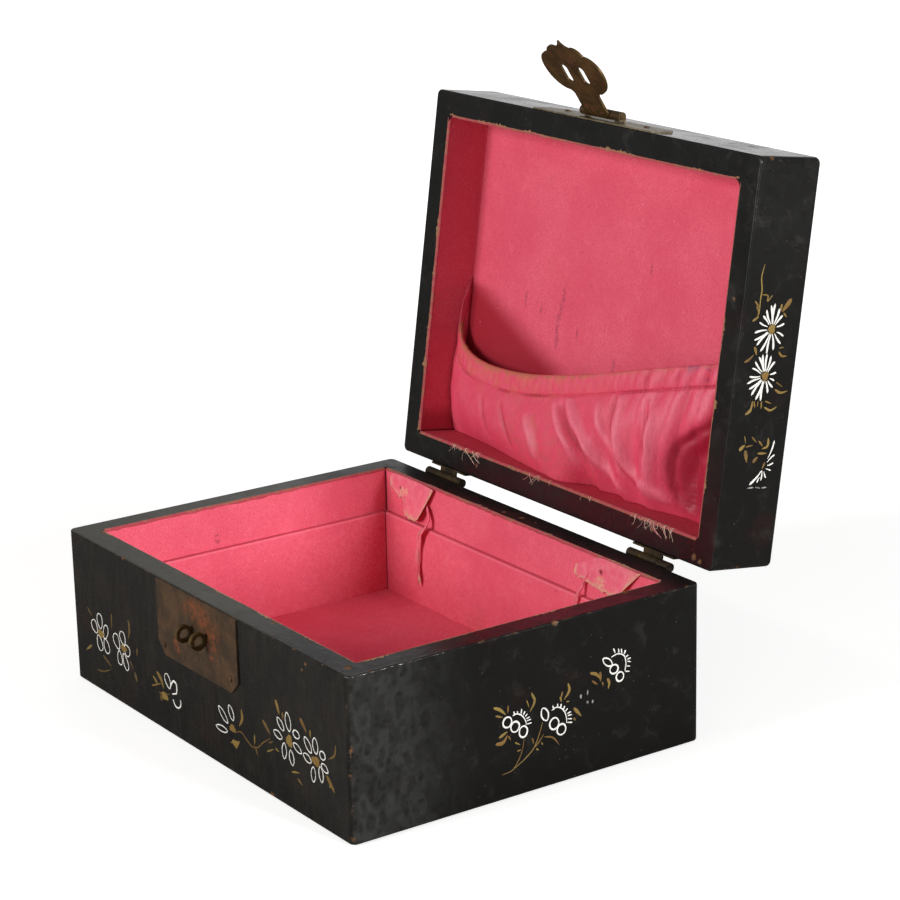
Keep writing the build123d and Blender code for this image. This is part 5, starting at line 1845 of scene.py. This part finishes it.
class Dresser:
    """Gives every CAD node its finish."""

    def __init__(self, nodes: dict[str, bpy.types.Object]) -> None:
        """Makes the shared finishes.

        Args:
            nodes: The CAD nodes by name.
        """
        self.nodes = nodes
        bronze = {"skin": srgb(72, 54, 24), "bright": srgb(104, 80, 40), "rust": srgb(104, 60, 36),
                  "grime": srgb(30, 22, 14)}
        self.finishes: dict[str, Material] = {
            "base_lacquer": Lacquer("lacquer_base", False, BASE_CHIPS).material(),
            "lid_lacquer": Lacquer("lacquer_lid", True, LID_CHIPS, front_haze=0.15,
                                   blisters=0.2).material(),
            # The base's paper is a lighter copy of the lid's paper: painted light for the brighter
            # base lining.
            "base_paper_lit": Paper("paper_base_lit", False, LINING_MARKS, srgb(241, 112, 134),
                                srgb(222, 78, 104), srgb(246, 144, 160)).material(),
            "lid_paper": Paper("paper_lid", True, PANEL_MARKS).material(),
            "lock_brass": AgedMetal("lock_brass", srgb(64, 48, 32), srgb(90, 65, 41),
                                    srgb(124, 60, 20), srgb(46, 34, 24), rust_share=0.6,
                                    metal=0.3, roughness=0.5, rusty=RUSTY_PLATE).material(),
            "hasp_brass": AgedMetal("hasp_brass", srgb(108, 97, 75), srgb(152, 140, 116),
                                    srgb(116, 84, 52), srgb(60, 50, 40), rust_share=0.3,
                                    metal=0.6, roughness=0.36, lid=True,
                                    dull_before=-96.6).material(),
            "hasp_bronze": AgedMetal("hasp_bronze", rust_share=0.5, lid=True, **bronze).material(),
            "hinge_bronze": AgedMetal("hinge_bronze", srgb(46, 38, 24), srgb(86, 66, 36),
                                      srgb(66, 44, 26), srgb(20, 16, 12),
                                      rust_share=0.2).material(),
            "nail_iron": AgedMetal("nail_iron", srgb(62, 48, 36), srgb(98, 76, 52),
                                   srgb(92, 54, 32), srgb(24, 20, 16), rust_share=0.7).material(),
            "hidden_cloth": Silk("hidden_cloth").material(),
        }

    @staticmethod
    def finish_of(node: str) -> tuple[str, Slot]:
        """The finish and the slot that a node's name calls for.

        Args:
            node: The node's name.

        Returns:
            The finish's key and the slot.
        """
        paper = "lid_paper" if node.startswith("lid") else "base_paper_lit"
        table = (
            (("lining", "ledge", "floor"), paper, Slot.PAPER),
            (("pocket_elastic",), "hidden_cloth", Slot.ELASTIC),
            (("pocket",), "hidden_cloth", Slot.SATIN),
            (("ribbon",), "hidden_cloth", Slot.SILK),
            (("nails",), "nail_iron", Slot.BRONZE),
            (("lock_plate",), "lock_brass", Slot.BRASS),
            (("hasp_plate",), "hasp_brass", Slot.BRASS),
            (("hasp", "staple"), "hasp_bronze", Slot.BRONZE),
            (("hinge",), "hinge_bronze", Slot.BRONZE),
        )
        for words, finish, slot in table:
            if any(word in node for word in words):
                return finish, slot
        return ("lid_lacquer" if node.startswith("lid") else "base_lacquer"), Slot.LACQUER

    def dress(self) -> None:
        """Puts one finish on each node."""
        for name, node in self.nodes.items():
            finish, slot = self.finish_of(name)
            node.data.materials.clear()
            node.data.materials.append(self.finishes[finish])
            LOG.info("%s is dressed in %s", name, finish)


# Studio


@dataclass(frozen=True)
class Lamp:
    """A square area light, in metres and watts, aimed at the box."""

    name: str
    place: Place
    size: float
    power: float
    colour: Place = (1.0, 1.0, 1.0)

    def build(self, target: Place) -> None:
        """Hangs the lamp and turns it towards a target.

        Args:
            target: Where it points, in metres.
        """
        light = bpy.data.lights.new(self.name, "AREA")
        light.shape, light.size = "SQUARE", self.size
        light.energy, light.color = self.power, self.colour
        lamp = bpy.data.objects.new(self.name, light)
        lamp.location = self.place
        away = np.array(self.place) - np.array(target)
        z = away / np.linalg.norm(away)
        x = np.cross((0.0, 0.0, 1.0), z)
        x /= np.linalg.norm(x)
        lamp.rotation_euler = Matrix(np.stack([x, np.cross(z, x), z], axis=1).tolist()).to_euler()
        bpy.context.scene.collection.objects.link(lamp)


@dataclass(frozen=True)
class Viewpoint:
    """The photograph's camera, found from the box's corners."""

    azimuth: float = 55.4757
    elevation: float = 16.6507
    roll: float = -1.2627
    lens: float = 108.64
    distance: float = 1.202475
    aim: Place = (0.066075, 0.0, 0.1433)

    def build(self) -> None:
        """Makes the camera, looking back along azimuth and elevation and rolled about its axis."""
        a, e, r = (math.radians(v) for v in (self.azimuth, self.elevation, self.roll))
        back = np.array([math.sin(a) * math.cos(e), -math.cos(a) * math.cos(e), math.sin(e)])
        right = np.array([math.cos(a), math.sin(a), 0.0])
        up = np.cross(back, right)
        turned = (math.cos(r) * right + math.sin(r) * up,
                  math.cos(r) * up - math.sin(r) * right, back)
        lens = bpy.data.cameras.new("camera")
        lens.lens, lens.sensor_width, lens.clip_end = self.lens, 36.0, 20.0
        camera = bpy.data.objects.new("camera", lens)
        place = np.array(self.aim) + back * self.distance
        camera.matrix_world = (Matrix.Translation(place.tolist())
                               @ Matrix(np.stack(turned, axis=1).tolist()).to_4x4())
        bpy.context.scene.collection.objects.link(camera)
        bpy.context.scene.camera = camera


class Studio:
    """A pale floor, a pale world and soft lamps.

    Reflections find a darker floor, and a dark world that is bright only behind the box, round the
    backdrop's direction.
    """

    lamps: tuple[Lamp, ...] = (
        Lamp("key", (-0.25, -1.85, 0.82), 0.75, 27.0, (1.0, 0.985, 0.965)),
        Lamp("side", (2.05, 0.5, 0.62), 0.55, 41.0),
    )
    backdrop: Place = (-0.62, 0.78, 0.1)
    floor_half: float = 4.0
    floor_z: float = -0.0004

    def build(self) -> None:
        """Makes the floor, the world, the lamps and the camera."""
        self._floor()
        self._world()
        for lamp in self.lamps:
            lamp.build((0.0, 0.0, 0.1))
        Viewpoint().build()
        scene = bpy.context.scene
        scene.view_settings.view_transform = "Standard"

    def _floor(self) -> None:
        """Lays the floor just under the box. The camera sees it brighter than it lights the box."""
        g = Graph("floor")
        away = g.measure("LENGTH", {0: g.place()})
        plain = g.shader("ShaderNodeBsdfDiffuse", {"Color": (0.8, 0.8, 0.79, 1.0)})
        glow = g.shader("ShaderNodeEmission", {"Color": 0.6 + away.ramp(300, 1200) * 0.4,
                                               "Strength": 1.0})
        both = g.shader("ShaderNodeAddShader", {0: plain, 1: glow})
        dim = g.shader("ShaderNodeBsdfDiffuse", {"Color": (0.26, 0.26, 0.25, 1.0)})
        mesh = bpy.data.meshes.new("floor")
        corners = ((-1, -1), (1, -1), (1, 1), (-1, 1))
        mesh.from_pydata([(x * self.floor_half, y * self.floor_half, self.floor_z)
                          for x, y in corners], [], [(0, 1, 2, 3)])
        mesh.materials.append(g.close(g.by_ray(both, dim, plain)))
        floor = bpy.data.objects.new("floor", mesh)
        bpy.context.scene.collection.objects.link(floor)

    def _world(self) -> None:
        """Makes the world: pale to the camera, dim as a light, and dark in reflections."""
        g = Graph("studio", world=True)
        ray = g.node("ShaderNodeTexCoord").outputs["Generated"]
        toward = g.measure("DOT_PRODUCT", {0: ray, 1: self.backdrop})
        mirrored = g.shader("ShaderNodeBackground", {"Color": 0.2 + toward.ramp(0.88, 0.99) * 0.8})
        grey = (0.8, 0.8, 0.8, 1.0)
        light = g.shader("ShaderNodeBackground", {"Color": grey, "Strength": 0.3})
        pale = g.shader("ShaderNodeBackground", {"Color": grey, "Strength": 1.0})
        bpy.context.scene.world = g.close(g.by_ray(pale, mirrored, light))


def main() -> None:
    """Dresses the frame, adds the soft and painted pieces, and sets the studio."""
    logging.basicConfig(level=logging.INFO, format="%(message)s")
    Dresser(frame["nodes"]).dress()
    for spray in (FRONT_SPRAY, RIGHT_SPRAY, LID_SPRAY):
        spray.build()
    pocket = Pocket()
    pocket.build()
    pocket.build_elastic()
    for remnant in (LEFT_REMNANT, RIGHT_REMNANT):
        remnant.build()
    TornEdge(lid=False).build()
    TornEdge(lid=True).build()
    LooseThreads().build()
    CornerFill().build()
    Studio().build()


if __name__ == "__main__":
    main()
